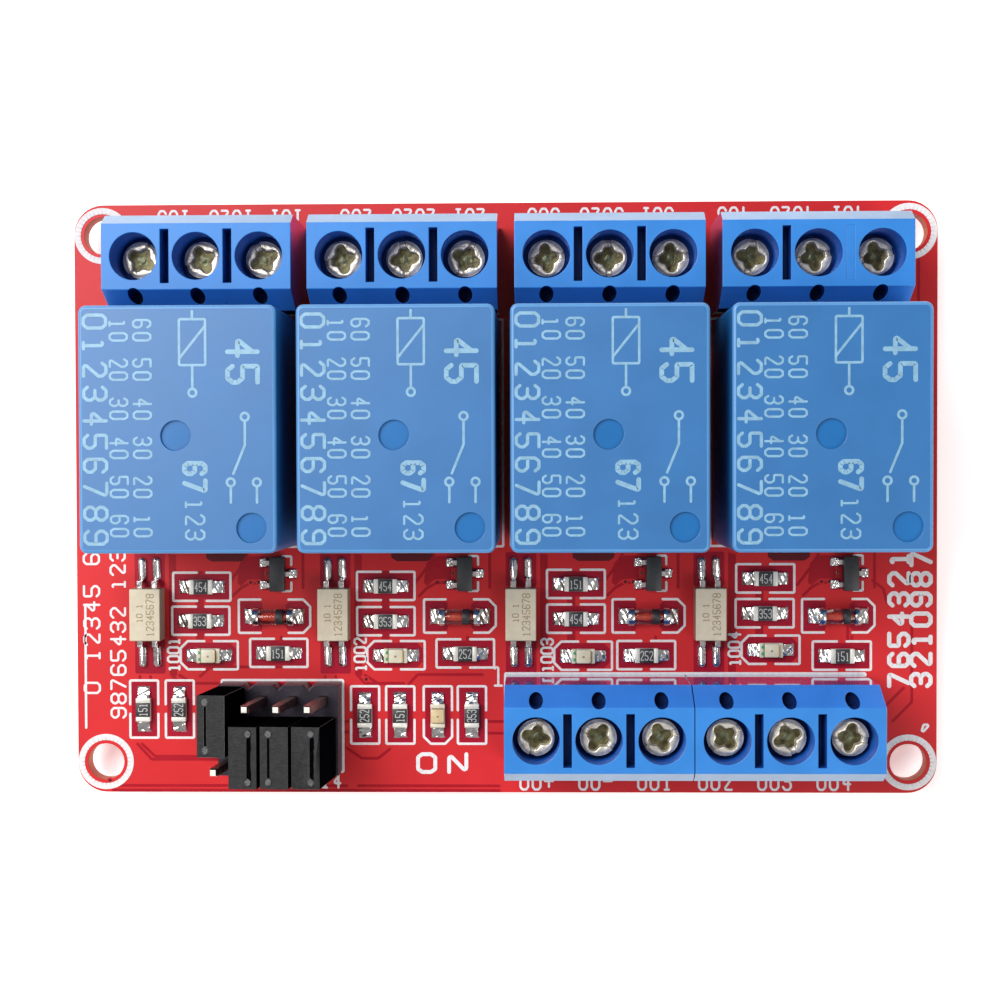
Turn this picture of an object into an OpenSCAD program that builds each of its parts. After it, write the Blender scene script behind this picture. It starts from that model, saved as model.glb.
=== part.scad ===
// Four-channel relay module board.
//
// The origin is the middle of the four mounting holes, on the underside of the circuit board.
// +X runs along the row of relays, +Y towards the relay terminals and +Z up from the board.
// Inside the modules, heights marked "above the board" are counted from the board's upper face.

/* [Circuit board] */
// Length of the board along the row of relays
board_w = 73; // [40:0.1:120]
// Width of the board
board_d = 50; // [30:0.1:90]
// Thickness of the board
board_t = 1.6; // [0.8:0.1:2.4]
// Radius of the board's corners
board_corner_r = 2.5; // [0.5:0.1:6]
// Distance of the mounting holes from the board's short edges
hole_in_x = 2.4; // [1.8:0.1:10]
// Distance of the mounting holes from the board's long edges
hole_in_y = 2.6; // [1.8:0.1:10]
// Diameter of the mounting holes, free for an M3 screw
hole_d = 3.1; // [2:0.1:5]

/* [Pins and solder] */
// How far relay and terminal pins reach below the board
pin_below = 1.9; // [1:0.1:4]
// How far the header's pins reach below the board
header_pin_below = 1.4; // [1:0.1:4]
// Diameter of the drilled holes for relay and terminal pins
drill_d = 1.3; // [0.9:0.05:2]
// Diameter of the drilled holes for header pins
header_drill_d = 1; // [0.95:0.05:1.5]
// Height of a solder cone under the board
solder_h = 0.8; // [0.3:0.1:1.5]
// Diameter of a solder cone where it meets the board
solder_d = 2; // [1.4:0.1:3]
// Thickness of a tinned pad for the small parts
pad_t = 0.06; // [0.03:0.01:0.2]

/* [Relay housings] */
// Middle of the row of relays along the board
relay_row_x = 0.3; // [-20:0.05:20]
// Gaps between neighbouring relays
relay_gap = [1.5, 1.15, 1.65]; // [0.5:0.05:10]
// End of the relays that faces the small parts
relay_end_y = -3.85; // [-20:0.05:20]
// Width of a relay along the board
case_w = 15.2; // [10:0.1:20]
// Length of a relay across the board
case_l = 19; // [12:0.1:30]
// Height of a relay above the board
case_h = 15.4; // [10:0.1:25]
// Thickness of the case's side walls
case_wall = 0.8; // [0.5:0.05:1.5]
// Thickness of the case's top
case_top = 0.9; // [0.5:0.05:2]
// Radius of the case's outer edges
case_edge_r = 0.6; // [0.2:0.05:2]
// Diameter of the two moulding dimples in the top
dimple_d = 2.34; // [1:0.02:4]
// Depth of the dimples
dimple_deep = 0.25; // [0.1:0.05:0.5]
// Place of the first dimple from the middle of the top
dimple_mid = [-0.12, -0.48]; // [-4:0.02:4]
// Distance of the second dimple from the two sides at its corner
dimple_in = [1.93, 1.95]; // [1.5:0.01:5]
// Height of the feet under a relay
relay_foot_h = 0.3; // [0.1:0.05:1]
// Thickness of the base plate that closes a case from below
relay_base_t = 1.7; // [1:0.1:3]

/* [Relay mechanism] */
// Outer diameter of the winding
coil_d = 8.6; // [6:0.1:11]
// Room between the upper contact and the case's top
contact_room = 0.62; // [0.2:0.02:3]
// Diameter of the iron core
core_d = 3.4; // [2:0.1:5]
// Diameter of the core's pole face
pole_d = 6.6; // [4:0.1:8]
// Thickness of the bobbin's flanges
flange_t = 0.8; // [0.5:0.05:1.2]
// Thickness of the L-shaped yoke
yoke_t = 1.1; // [0.8:0.05:2]
// Width of the yoke and the armature
yoke_w = 9; // [6:0.1:12]
// Thickness of the armature
armature_t = 1; // [0.6:0.05:1.6]
// Length of the armature in front of its hinge edge
armature_l = 8.6; // [6:0.1:10]
// Angle that the armature stands open when no current flows
armature_open = 3.5; // [1:0.1:8]
// Distance of the contacts from the case's end
contact_in = 2.5; // [2:0.05:5]
// Diameter of the contact rivets
contact_d = 1.8; // [1:0.1:3]
// Thickness of the moving leaf
leaf_t = 0.25; // [0.1:0.05:0.4]
// Width of the leaf on the armature, and of the common strip
leaf_w = 4; // [3:0.1:7]
// Width of the leaf's arm
leaf_arm_w = 2.8; // [2:0.1:6]
// Thickness of the fixed contact strips
strip_t = 0.4; // [0.2:0.05:0.8]
// Thickness of the strip that carries the common pin
common_strip_t = 0.3; // [0.2:0.05:0.5]
// Distance of the outer pins from the case's sides
side_pin_in = 1.6; // [1.4:0.05:4]
// Distance of the common pin from the case's end
com_pin_in = 2.75; // [2:0.05:4]
// Distance of the coil pins from the same end
coil_pin_in = 4.6; // [4:0.05:7]
// Distance of the two fixed contacts' pins from the other end
contact_pin_in = 2.2; // [1.7:0.05:5]

/* [Screw terminals] */
// How far each relay terminal block stands to the right of its relay's middle
relay_block_shift = [0.45, 0.1, 0.2, -0.25]; // [-3:0.05:3]
// Gap between the relays and their terminal blocks
relay_block_gap = 0.25; // [0.05:0.05:4]
// Middle of the first supply block along the board
input_block_first_x = 7.68; // [-40:0.02:40]
// Gap between the two lower blocks, and the least gap between the others
block_gap = 0.06; // [0.02:0.02:10]
// Back face of the supply and input blocks
input_block_back_y = -14.95; // [-20:0.05:-10]
// Distance between poles
pole_pitch = 5; // [3.5:0.01:7.62]
// Distance from the outer poles to the block's ends
block_end = 2.55; // [2.2:0.05:5]
// Depth of a block from its back to its wire face
block_d = 7.5; // [6:0.1:12]
// Height of a block above the board
block_h = 10; // [7:0.1:16]
// Depth taken by the slope at the back
back_slope = 1.45; // [0.5:0.05:3]
// Height above the board where the back slope starts
back_slope_z = 7; // [3:0.1:9]
// Depth taken by the slope at the wire side
front_slope = 0.8; // [0.2:0.05:2]
// Drop of the slope at the wire side
front_drop = 1.4; // [0.2:0.1:3]
// Distance of the screws from the back face
screw_v = 4.1; // [3:0.05:6]
// Diameter of the wells that the screws stand in
well_d = 3.76; // [3:0.02:5]
// Depth of the wells down to the seat under a screw head
well_deep = 4.2; // [2:0.1:6]
// Diameter of a screw head
head_d = 2.94; // [2.4:0.02:3.6]
// Height of a screw head
head_h = 1.3; // [0.8:0.1:2.5]
// How far the screws of the two lower blocks are backed out
screw_out = 1.15; // [0:0.05:1.3]
// Diameter of a screw's shank
shank_d = 2.44; // [1.6:0.02:3]
// Width of the slits between the wells
slit_w = 0.67; // [0.2:0.01:1.2]
// Length of the slits between the wells
slit_l = 4.26; // [2:0.02:6]
// Depth of the slits between the wells
slit_deep = 2.6; // [0.5:0.1:4]
// Width of the wire openings
wire_hole_w = 3.5; // [2.5:0.1:4]
// Diameter of the probe holes in the back slope
probe_d = 1.1; // [0.5:0.1:2]
// Length of a clamping cage along the wire
cage_l = 3.8; // [3:0.1:4.4]
// Width of a clamping cage
cage_w = 3.8; // [3:0.1:4.2]
// Thickness of a cage's sides and bottom
cage_wall = 0.6; // [0.4:0.05:0.9]
// Thickness of a cage's threaded top
cage_top_t = 0.9; // [0.6:0.05:1.2]
// Height above the board of a cage's underside
cage_low_z = 1; // [0.95:0.05:2]
// Thickness of a contact plate
contact_plate_t = 0.5; // [0.3:0.05:0.8]

/* [Trigger header] */
// Middle of the pin grid, along and across the board
header_at = [-18.96, -19.35]; // [-40:0.01:40]
// Distance between header pins
header_pitch = 2.54; // [2:0.01:3]
// Height of the header's plastic body
header_body_h = 2.54; // [1.5:0.02:4]
// Side of a square header pin
header_pin = 0.64; // [0.4:0.02:1]
// Length of a header pin above its plastic body
header_pin_above = 5.9; // [4:0.1:10]
// Lean of the pins towards the left edge of the board
header_lean = 6; // [0:0.5:10]
// Gap between neighbouring jumper caps
cap_side_gap = 0.24; // [0.02:0.02:0.6]
// How much shorter a jumper cap is than two pitches
cap_end_gap = 0.08; // [0.02:0.02:0.6]
// Thickness of a jumper cap's top
cap_top_t = 0.35; // [0.2:0.05:8]
// Gap between a jumper cap and the header's plastic body
cap_gap = 0.45; // [0.2:0.05:2]

/* [Small parts] */
// Middle of each photocoupler along the board
opto_x = [-30.25, -14.4, 1.4, 17.3]; // [-36:0.05:36]
// Middle of the photocouplers across the board
opto_y = -9.7; // [-20:0.05:0]
// Width, length and height of a photocoupler's body
opto_size = [2.6, 4.4, 2]; // [1:0.1:6]
// Middle of each transistor along the board
transistor_x = [-19.25, -3.35, 12.6, 29.15]; // [-36:0.05:36]
// Middle of the transistors across the board
transistor_y = -6.35; // [-20:0.05:0]
// Width, length and height of a transistor's body
transistor_size = [1.3, 2.9, 1]; // [0.5:0.1:4]
// Middle of each diode along the board
diode_x = [-19.6, -3.8, 12.2, 28.2]; // [-36:0.05:36]
// Middle of the diodes across the board
diode_y = -9.97; // [-20:0.05:0]
// Length of a diode over its end caps
diode_l = 3.5; // [2:0.1:5]
// Diameter of a diode's end caps
diode_d = 1.5; // [1:0.05:2.5]
// Diameter of a diode's glass body
glass_d = 1.3; // [0.8:0.05:2]
// Length of a diode's end cap
diode_cap_l = 0.55; // [0.2:0.05:1]
// Middle of the upper resistors along the board
res_upper_x = [-25.8, -10.1, 6.05, 22.05]; // [-36:0.05:36]
// Middle of the upper resistors across the board
res_upper_y = [-7.45, -7.4, -7.25, -6.8]; // [-24:0.05:24]
// Middle of the middle resistors along the board
res_middle_x = [-25.9, -10.1, 6.05, 22]; // [-36:0.05:36]
// Middle of the middle resistors across the board
res_middle_y = [-10.35, -10.4, -10.2, -9.75]; // [-24:0.05:24]
// Middle of the channel lamps along the board
led_x = [-25.2, -9.25, 6.65, 22.5]; // [-36:0.05:36]
// Middle of the channel lamps across the board
led_y = [-13.3, -13.3, -13.35, -12.85]; // [-24:0.05:24]
// Middle of the lower resistors along the board
res_lower_x = [-19.25, -3.35, 12, 28.5]; // [-36:0.05:36]
// Middle of the lower resistors across the board
res_lower_y = [-13.1, -13.15, -13.3, -13.35]; // [-24:0.05:24]
// Middle of the two upright resistors left of the header
res_left_x = [-30.8, -27.75]; // [-36:0.05:36]
// Middle of the left upright resistors across the board
res_left_y = -17.9; // [-24:0.05:24]
// Middle of the three upright resistors right of the header
res_right_x = [-11.9, -8.9, -2.8]; // [-36:0.05:36]
// Middle of the right upright parts across the board
res_right_y = -18.4; // [-24:0.05:24]
// Middle of the power lamp along the board
power_led_x = -5.7; // [-36:0.05:36]
// Length, width and height of a chip resistor
chip_size = [2, 1.25, 0.55]; // [0.3:0.05:4]
// Length of a chip's metal end
chip_end_l = 0.35; // [0.1:0.05:1]
// Height of a chip lamp
led_h = 0.8; // [0.4:0.05:1.5]

/* [Display] */

/* [Hidden] */

eps = 0.01;                                // overlap of a cut beyond the face it opens
run = 0.05;                                // free play between pieces that fit into each other
$fn = 48;

relays = [0 : 3];
blocks = [0 : 5];
caps_row = [0, 1, 1, 1];                   // row of the upper pin under each jumper cap
header_cols = 4;
header_rows = 3;

// Places of the relays: side by side with room for their blocks; the row's middle stays put
function relay_step(i) = max(case_w + relay_gap[i],
  block_l + block_gap - relay_block_shift[i + 1] + relay_block_shift[i]);
function steps_to(i) = i < 1 ? 0 : relay_step(i - 1) + steps_to(i - 1);
function relay_x(i) = relay_row_x + steps_to(i) - steps_to(3) / 2;
relay_y = relay_end_y + case_l / 2;

// Places inside a relay, from its middle
relay_pin_pitch = case_w - 2 * side_pin_in;
com_pin_y = com_pin_in - case_l / 2;
coil_pin_y = coil_pin_in - case_l / 2;
contact_pin_y = case_l / 2 - contact_pin_in;
contact_y = case_l / 2 - contact_in;
yoke_back_y = com_pin_y + common_strip_t / 2;
hinge_y = yoke_back_y + yoke_t / 2;
contact_reach = contact_y - hinge_y;       // from the hinge edge to the moving contact
flange_size = [coil_d + 1.2, coil_d + 0.4];
coil_y = yoke_back_y + yoke_t + 0.1 + flange_size.y / 2;

// Heights above the board, from the base plate up to the contacts. The winding takes what is left.
rivet_h = 0.4;
rivet_out = 0.35;                          // how far a moving contact stands out of the leaf
pole_t = 0.65;
yoke_foot_t = 1;                           // the yoke's foot lies on the base plate
base_top_z = relay_foot_h + relay_base_t;
foot_top_z = base_top_z + yoke_foot_t;
winding_z = foot_top_z + flange_t;
closed_rise = contact_reach * sin(armature_open) + armature_t + leaf_t + rivet_out + 0.08;
closed_contact_z = case_h - case_top - contact_room - strip_t - rivet_h;
hinge_z = closed_contact_z - closed_rise;
pole_z = hinge_z - run;
flange_top_z = pole_z - pole_t;
coil_h = flange_top_z - flange_t - winding_z;
open_contact_z = hinge_z + armature_t - rivet_out - 0.03;

// Inside a terminal block: heights above the board and distances from its back
block_l = 2 * (pole_pitch + block_end);
screw_seat_z = block_h - well_deep;
cage_z = [cage_low_z, screw_seat_z - 0.5];
cage_v = [screw_v - cage_l / 2, screw_v + cage_l / 2];
cavity_w = cage_w + 0.2;
contact_plate_z = cage_z[1] - cage_top_t - 0.6 - contact_plate_t;
screw_tip_z = contact_plate_z + contact_plate_t + 0.02;
pin_v = cage_v[0] - 0.2 - contact_plate_t / 2;
terminal_pin_w = 1;
relay_block_back_y = relay_end_y + case_l + relay_block_gap;

function block_at(i) = i < 4
  ? [relay_x(i) + relay_block_shift[i], relay_block_back_y, 0]
  : [input_block_first_x + (i - 4) * (block_l + block_gap), input_block_back_y, 180];

// Jumper caps fit between their neighbours and over two pins
blade_t = 0.2;                             // thickness of a clip's spring blades
cap_w = header_pitch - cap_side_gap;
cap_l = 2 * header_pitch - cap_end_gap;
clip_hole = [header_pin + 2 * (run + blade_t) + 0.1, header_pin + 0.36];
clip_top_z = header_pin_above + 0.2;
cap_h = clip_top_z + cap_top_t - cap_gap;

// ---------------------------------------------------------------- shared shapes

// A rectangle with round corners, centred on the origin
module round_rect(size, r) {
  square([size.x - 2 * r, size.y], center = true);
  square([size.x, size.y - 2 * r], center = true);
  for (x = [-1, 1], y = [-1, 1])
    translate([x * (size.x / 2 - r), y * (size.y / 2 - r)]) circle(r);
}

// A box with its round upper and upright edges made by three crossing prisms
module soft_box(w, l, z0, z1, r) {
  mid = (z0 + z1) / 2;
  intersection() {
    translate([0, 0, z0]) linear_extrude(z1 - z0) round_rect([w, l], r);
    translate([0, l / 2, mid - r]) rotate([90, 0, 0]) linear_extrude(l)
      round_rect([w, z1 - z0 + 2 * r], r);
    translate([-w / 2, 0, mid - r]) rotate([90, 0, 90]) linear_extrude(w)
      round_rect([l, z1 - z0 + 2 * r], r);
  }
}

// A box given by its two corners
module span(a, b) translate(a) cube(b - a);

// A box centred on x and y that stands on z0
module post(w, l, z0, z1) translate([-w / 2, -l / 2, z0]) cube([w, l, z1 - z0]);

// Places children above the board
module on_board() translate([0, 0, board_t]) children();

// Places children in the frame of relay i
module at_relay(i) translate([relay_x(i), relay_y, board_t]) children();

// Places children in the frame of block i: x along the poles, y from the back to the wires
module at_block(i) {
  at = block_at(i);
  translate([at.x, at.y, board_t]) rotate(at.z) children();
}

// Places children at each pole of a block
module at_poles() for (p = [-1, 0, 1]) translate([p * pole_pitch, 0, 0]) children();

// Places children at the header's pin in a column and a row, counted from the upper left
module at_header(col, row)
  translate([header_at.x + (col - (header_cols - 1) / 2) * header_pitch,
             header_at.y - (row - (header_rows - 1) / 2) * header_pitch, board_t])
    children();

// Places children on the leaning pins, with the origin at the top of the plastic body
module on_pins() translate([0, 0, header_body_h]) rotate([0, -header_lean, 0]) children();

// ---------------------------------------------------------------- circuit board

// Each relay's five pins in the relay's frame: place and size
relay_pins = [
  [0, com_pin_y, 0.8, common_strip_t],
  [-relay_pin_pitch / 2, coil_pin_y, 0.6, 0.6], [relay_pin_pitch / 2, coil_pin_y, 0.6, 0.6],
  [-relay_pin_pitch / 2, contact_pin_y, strip_t, 0.8],
  [relay_pin_pitch / 2, contact_pin_y, strip_t, 0.8]
];

// Draws children at every soldered pin; $pin holds the pin's size and the drilled diameter
module at_soldered_pins() {
  for (i = relays, p = relay_pins) {
    $pin = [p[2], p[3], drill_d];
    translate([relay_x(i) + p[0], relay_y + p[1], 0]) children();
  }
  for (i = blocks, k = [-1, 0, 1]) {
    at = block_at(i);
    $pin = [terminal_pin_w, contact_plate_t, drill_d];
    translate([at.x, at.y, 0]) rotate(at.z) translate([k * pole_pitch, pin_v, 0]) children();
  }
  for (c = [0 : header_cols - 1], r = [0 : header_rows - 1]) {
    $pin = [header_pin, header_pin, header_drill_d];
    at_header(c, r) translate([0, 0, -board_t]) children();
  }
}

module circuit_board()
  color("crimson") difference() {
    linear_extrude(board_t) round_rect([board_w, board_d], board_corner_r);
    for (x = [-1, 1], y = [-1, 1])
      translate([x * (board_w / 2 - hole_in_x), y * (board_d / 2 - hole_in_y), -1])
        cylinder(d = hole_d, h = board_t + 2);
    at_soldered_pins() translate([0, 0, -1]) cylinder(d = $pin[2], h = board_t + 2);
  }

// ---------------------------------------------------------------- small parts

// Places children at every chip part: $lamp tells lamps from resistors
module at_chips() {
  $lamp = false;
  for (i = relays) {
    translate([res_upper_x[i], res_upper_y[i], board_t]) children();
    translate([res_middle_x[i], res_middle_y[i], board_t]) children();
    translate([res_lower_x[i], res_lower_y[i], board_t]) children();
  }
  for (x = res_left_x) translate([x, res_left_y, board_t]) rotate(90) children();
  for (x = res_right_x) translate([x, res_right_y, board_t]) rotate(90) children();
}

module at_channel_lamps() for (i = relays) translate([led_x[i], led_y[i], board_t]) children();

module at_power_lamp() translate([power_led_x, res_right_y, board_t]) rotate(90) children();

module chip_pads() for (s = [-1, 1])
  translate([s * (chip_size.x / 2 + 0.35), 0, 0]) post(1.15, chip_size.y + 0.1, 0, pad_t);

module chip_end_pair(h)
  for (s = [-1, 1]) translate([s * (chip_size.x - chip_end_l) / 2, 0, 0])
    post(chip_end_l, chip_size.y, pad_t, pad_t + h);

// Under every pin a cone of solder, and on top a tinned pad for every small part's end
module solder_joints()
  color("silver") {
    at_soldered_pins() difference() {
      translate([0, 0, -solder_h]) cylinder(d1 = $pin[2], d2 = solder_d, h = solder_h);
      cube([$pin[0], $pin[1], 4 * solder_h], center = true);
    }
    at_chips() chip_pads();
    at_channel_lamps() chip_pads();
    at_power_lamp() chip_pads();
    for (i = relays) {
      translate([opto_x[i], opto_y, board_t]) for (x = [-1, 1], y = [-1, 1])
        translate([x * opto_lead_pitch / 2, y * (opto_size.y / 2 + opto_lead_out + 0.22), 0])
          post(0.75, 1.9, 0, pad_t);
      translate([transistor_x[i], transistor_y, board_t]) {
        for (foot = transistor_feet) rotate(foot[0]) translate([
          transistor_size.x / 2 + transistor_lead_out - 0.15, foot[1], 0]) post(0.9, 0.8, 0, pad_t);
      }
      translate([diode_x[i], diode_y, board_t]) for (s = [-1, 1])
        translate([s * (diode_l / 2 + 0.15), 0, 0]) post(1.2, diode_d + 0.1, 0, pad_t);
    }
  }

module chip_resistors()
  color("dimgray") at_chips()
    post(chip_size.x - 2 * chip_end_l, chip_size.y, pad_t, pad_t + chip_size.z);

module chip_ends()
  color("silver") {
    at_chips() chip_end_pair(chip_size.z);
    at_channel_lamps() chip_end_pair(chip_size.z);
    at_power_lamp() chip_end_pair(chip_size.z);
  }

module lamp_body() post(chip_size.x - 2 * chip_end_l, chip_size.y, pad_t, pad_t + led_h);

module channel_lamps() color("ivory") at_channel_lamps() lamp_body();

module power_lamp() color("wheat") at_power_lamp() lamp_body();

// Photocouplers: the body stands a little off the board on four bent leads
opto_lead_pitch = 1.27;
opto_lead_out = 1.3;
lead_t = 0.2;
body_lift = 0.12;

module photocouplers()
  color("tan") for (i = relays) translate([opto_x[i], opto_y, board_t])
    post(opto_size.x, opto_size.y, body_lift, body_lift + opto_size.z);

// A bent lead that leaves a body at x = 0 and stands on its pad
module bent_lead(out, high, w)
  translate([0, w / 2, 0]) rotate([90, 0, 0]) linear_extrude(w) polygon([
    [0, high - lead_t], [out * 0.3, high - lead_t], [out * 0.45, pad_t], [out, pad_t],
    [out, pad_t + lead_t], [out * 0.45 + lead_t, pad_t + lead_t],
    [out * 0.3 + lead_t, high], [0, high]]);

module photocoupler_leads()
  color("silver") for (i = relays, x = [-1, 1], a = [90, -90])
    translate([opto_x[i] + x * opto_lead_pitch / 2, opto_y, board_t]) rotate(a)
      translate([opto_size.y / 2, 0, 0])
        bent_lead(opto_lead_out, body_lift + opto_size.z * 0.55, 0.45);

// Two feet on the left and one on the right: turn, and place along the body in that turn
transistor_lead_pitch = 0.95;
transistor_lead_out = 0.65;
transistor_feet = [[180, -transistor_lead_pitch], [180, transistor_lead_pitch], [0, 0]];

module transistors()
  color("black") for (x = transistor_x) translate([x, transistor_y, board_t])
    post(transistor_size.x, transistor_size.y, body_lift, body_lift + transistor_size.z);

module transistor_leads()
  color("silver") for (x = transistor_x) translate([x, transistor_y, board_t])
    for (foot = transistor_feet) rotate(foot[0]) translate([transistor_size.x / 2, foot[1], 0])
      bent_lead(transistor_lead_out, body_lift + transistor_size.z * 0.55, 0.42);

// Glass diodes lie on their pads by their round metal ends
module at_diodes()
  for (x = diode_x) translate([x, diode_y, board_t + pad_t + diode_d / 2])
    rotate([0, 90, 0]) children();

module diode_glass()
  color("orangered") at_diodes()
    cylinder(d = glass_d, h = diode_l - 2 * diode_cap_l, center = true);

module diode_ends()
  color("silver") at_diodes() for (s = [-1, 1])
    translate([0, 0, s * (diode_l - diode_cap_l) / 2])
      cylinder(d = diode_d, h = diode_cap_l, center = true);

// ---------------------------------------------------------------- relays

module relay_case(i)
  color("royalblue") at_relay(i) difference() {
    soft_box(case_w, case_l, relay_foot_h, case_h, case_edge_r);
    post(case_w - 2 * case_wall, case_l - 2 * case_wall, 0, case_h - case_top);
    for (at = [dimple_mid, [case_w / 2 - dimple_in.x, dimple_in.y - case_l / 2]])
      translate([at.x, at.y, case_h - dimple_deep]) cylinder(d = dimple_d, h = 1);
  }

// The base plate closes the case from below and stands on four feet
module relay_bases()
  color("darkslateblue") for (i = relays) at_relay(i) {
    w = case_w - 2 * case_wall - 2 * run;
    l = case_l - 2 * case_wall - 2 * run;
    difference() {
      union() {
        post(w, l, relay_foot_h, base_top_z);
        for (x = [-1, 1], y = [-1, 1])
          translate([x * (w / 2 - 0.7), y * (l / 2 - 0.5), 0]) post(1.4, 1, 0, 1);
      }
      for (p = relay_pins) translate([p[0], p[1], 0]) post(p[2], p[3], -1, base_top_z + 1);
    }
  }

module relay_coil_pins()
  color("silver") for (i = relays, s = [-1, 1]) at_relay(i)
    translate([s * relay_pin_pitch / 2, coil_pin_y, 0])
      post(0.6, 0.6, -board_t - pin_below, winding_z + 0.8);

// Bobbin with a square flange at each end; lugs on the lower one hold the coil pins
module relay_bobbins()
  color("white") for (i = relays) at_relay(i) difference() {
    union() {
      for (z = [foot_top_z, flange_top_z - flange_t]) translate([0, coil_y, 0])
        post(flange_size.x, flange_size.y, z, z + flange_t);
      for (s = [-1, 1]) translate([s * (relay_pin_pitch / 2 - 0.3), coil_pin_y, 0])
        post(1.8, 1.1, foot_top_z, foot_top_z + flange_t);
      translate([0, coil_y, foot_top_z])
        cylinder(d = core_d + 1.4, h = flange_top_z - foot_top_z);
    }
    translate([0, coil_y, 0]) cylinder(d = core_d + 2 * run, h = case_h);
    for (s = [-1, 1]) translate([s * relay_pin_pitch / 2, coil_pin_y, 0])
      post(0.6, 0.6, 0, winding_z + 1);
  }

module relay_coils()
  color("peru") for (i = relays) at_relay(i) translate([0, coil_y, winding_z]) difference() {
    cylinder(d = coil_d, h = coil_h);
    translate([0, 0, -1]) cylinder(d = core_d + 1.4 + 2 * run, h = coil_h + 2);
  }

// The core's lower end is staked into the yoke's foot, its upper end is the pole
module relay_cores()
  color("gray") for (i = relays) at_relay(i) translate([0, coil_y, 0]) {
    translate([0, 0, base_top_z]) cylinder(d = core_d - 1, h = yoke_foot_t + eps);
    translate([0, 0, foot_top_z]) cylinder(d = core_d, h = pole_z - foot_top_z);
    translate([0, 0, flange_top_z]) cylinder(d = pole_d, h = pole_t);
  }

// The L-shaped yoke carries the flux from the core's foot to the armature's hinge edge
module relay_yokes()
  color("lightsteelblue") for (i = relays) at_relay(i) difference() {
    union() {
      span([0.5 - yoke_w / 2, yoke_back_y, base_top_z],
           [yoke_w / 2 - 0.5, coil_y + core_d - 0.9, foot_top_z]);
      span([-yoke_w / 2, yoke_back_y, base_top_z],
           [yoke_w / 2, yoke_back_y + yoke_t, hinge_z - run]);
    }
    translate([0, coil_y, 0]) cylinder(d = core_d - 1 + 2 * run, h = foot_top_z + 1);
  }

// A bronze strip on the yoke's back, with the common pin at its lower end
module relay_common_strips()
  color("goldenrod") for (i = relays) at_relay(i) translate([0, com_pin_y, 0]) {
    post(0.8, common_strip_t, -board_t - pin_below, base_top_z + eps);
    post(leaf_w, common_strip_t, base_top_z, hinge_z - 0.3);
  }

// A fixed contact: pin, upright strip, arm over the middle and a rivet that faces the leaf
module fixed_contact(side, arm_z, rivet_z) {
  x = side * relay_pin_pitch / 2;
  translate([x, contact_pin_y, 0]) {
    post(strip_t, 0.8, -board_t - pin_below, base_top_z + eps);
    post(strip_t, 1.6, base_top_z, arm_z + strip_t);
  }
  span([min(x - strip_t / 2, -1), contact_y - 0.8, arm_z],
       [max(x + strip_t / 2, 1), contact_y + 0.8, arm_z + strip_t]);
  translate([0, contact_y, rivet_z]) cylinder(d = contact_d, h = rivet_h);
}

module relay_closed_contacts()
  color("goldenrod") for (i = relays) at_relay(i)
    fixed_contact(1, closed_contact_z + rivet_h - eps, closed_contact_z);

module relay_open_contacts()
  color("goldenrod") for (i = relays) at_relay(i)
    fixed_contact(-1, open_contact_z - rivet_h - strip_t + eps, open_contact_z - rivet_h);

// Places children in the frame of the open armature: origin on the hinge edge
module on_hinge(i)
  at_relay(i) translate([0, hinge_y, hinge_z]) rotate([armature_open, 0, 0]) children();

module relay_armature(i)
  color("slategray") on_hinge(i)
    span([-yoke_w / 2, -yoke_t / 2, 0], [yoke_w / 2, armature_l, armature_t]);

// The leaf is staked onto the armature and carries the moving contact
module relay_leaf(i)
  color("orange") on_hinge(i) {
    span([-leaf_w / 2, 0.3, armature_t], [leaf_w / 2, armature_l + 1, armature_t + leaf_t]);
    span([-leaf_arm_w / 2, armature_l + 1 - eps, armature_t],
         [leaf_arm_w / 2, contact_reach + 1, armature_t + leaf_t]);
    for (x = [-1, 1], y = [6.6, 3.6])
      translate([x, armature_l - y, armature_t + leaf_t - eps]) cylinder(d = 0.9, h = 0.2);
    translate([0, contact_reach, armature_t - rivet_out])
      cylinder(d = contact_d, h = leaf_t + 2 * rivet_out);
  }

// ---------------------------------------------------------------- screw terminals

module terminal_housing(i)
  color("dodgerblue") at_block(i) difference() {
    translate([-block_l / 2, 0, 0]) rotate([90, 0, 90]) linear_extrude(block_l) polygon([
      [0, 0], [block_d, 0], [block_d, block_h - front_drop],
      [block_d - front_slope, block_h], [back_slope, block_h], [0, back_slope_z]]);
    at_poles() {
      translate([0, screw_v, screw_seat_z]) cylinder(d = well_d, h = block_h);
      translate([0, screw_v, cage_z[1] - 1]) cylinder(d = shank_d + 0.3, h = 3);
      span([-cavity_w / 2, pin_v - 0.45, cage_low_z - 0.1],
           [cavity_w / 2, cage_v[1] + 0.3, cage_z[1] + 0.1]);
      span([-wire_hole_w / 2, cage_v[1] + 0.2, cage_z[0]],
           [wire_hole_w / 2, block_d + 1, contact_plate_z + contact_plate_t + 0.4]);
      translate([0, pin_v, 0]) post(terminal_pin_w, contact_plate_t, -1, 1);
      translate([0, back_slope * 0.7, back_slope_z + 0.2]) cylinder(d = probe_d, h = block_h);
    }
    for (s = [-1, 1]) translate([s * pole_pitch / 2, screw_v, 0])
      post(slit_w, slit_l, block_h - slit_deep, block_h + 1);
  }

// Cheese-head screws with a cross and a slot; each stands at its own angle. A tight screw's tip
// stands on the contact plate and holds its cage up; those of the lower blocks are backed out.
module terminal_screws(i)
  color("gainsboro") at_block(i) for (p = [-1, 0, 1])
    translate([p * pole_pitch, screw_v, i < 4 ? 0 : screw_out]) difference() {
      union() {
        translate([0, 0, screw_seat_z]) cylinder(d = head_d, h = head_h);
        translate([0, 0, screw_tip_z])
          cylinder(d = shank_d, h = screw_seat_z - screw_tip_z + eps);
      }
      translate([0, 0, screw_seat_z + head_h - 0.6]) rotate(37 * i + 61 * p) {
        post(0.55, 2.3, 0, 1);
        post(head_d + 1, 0.55, 0, 1);
      }
    }

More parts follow.
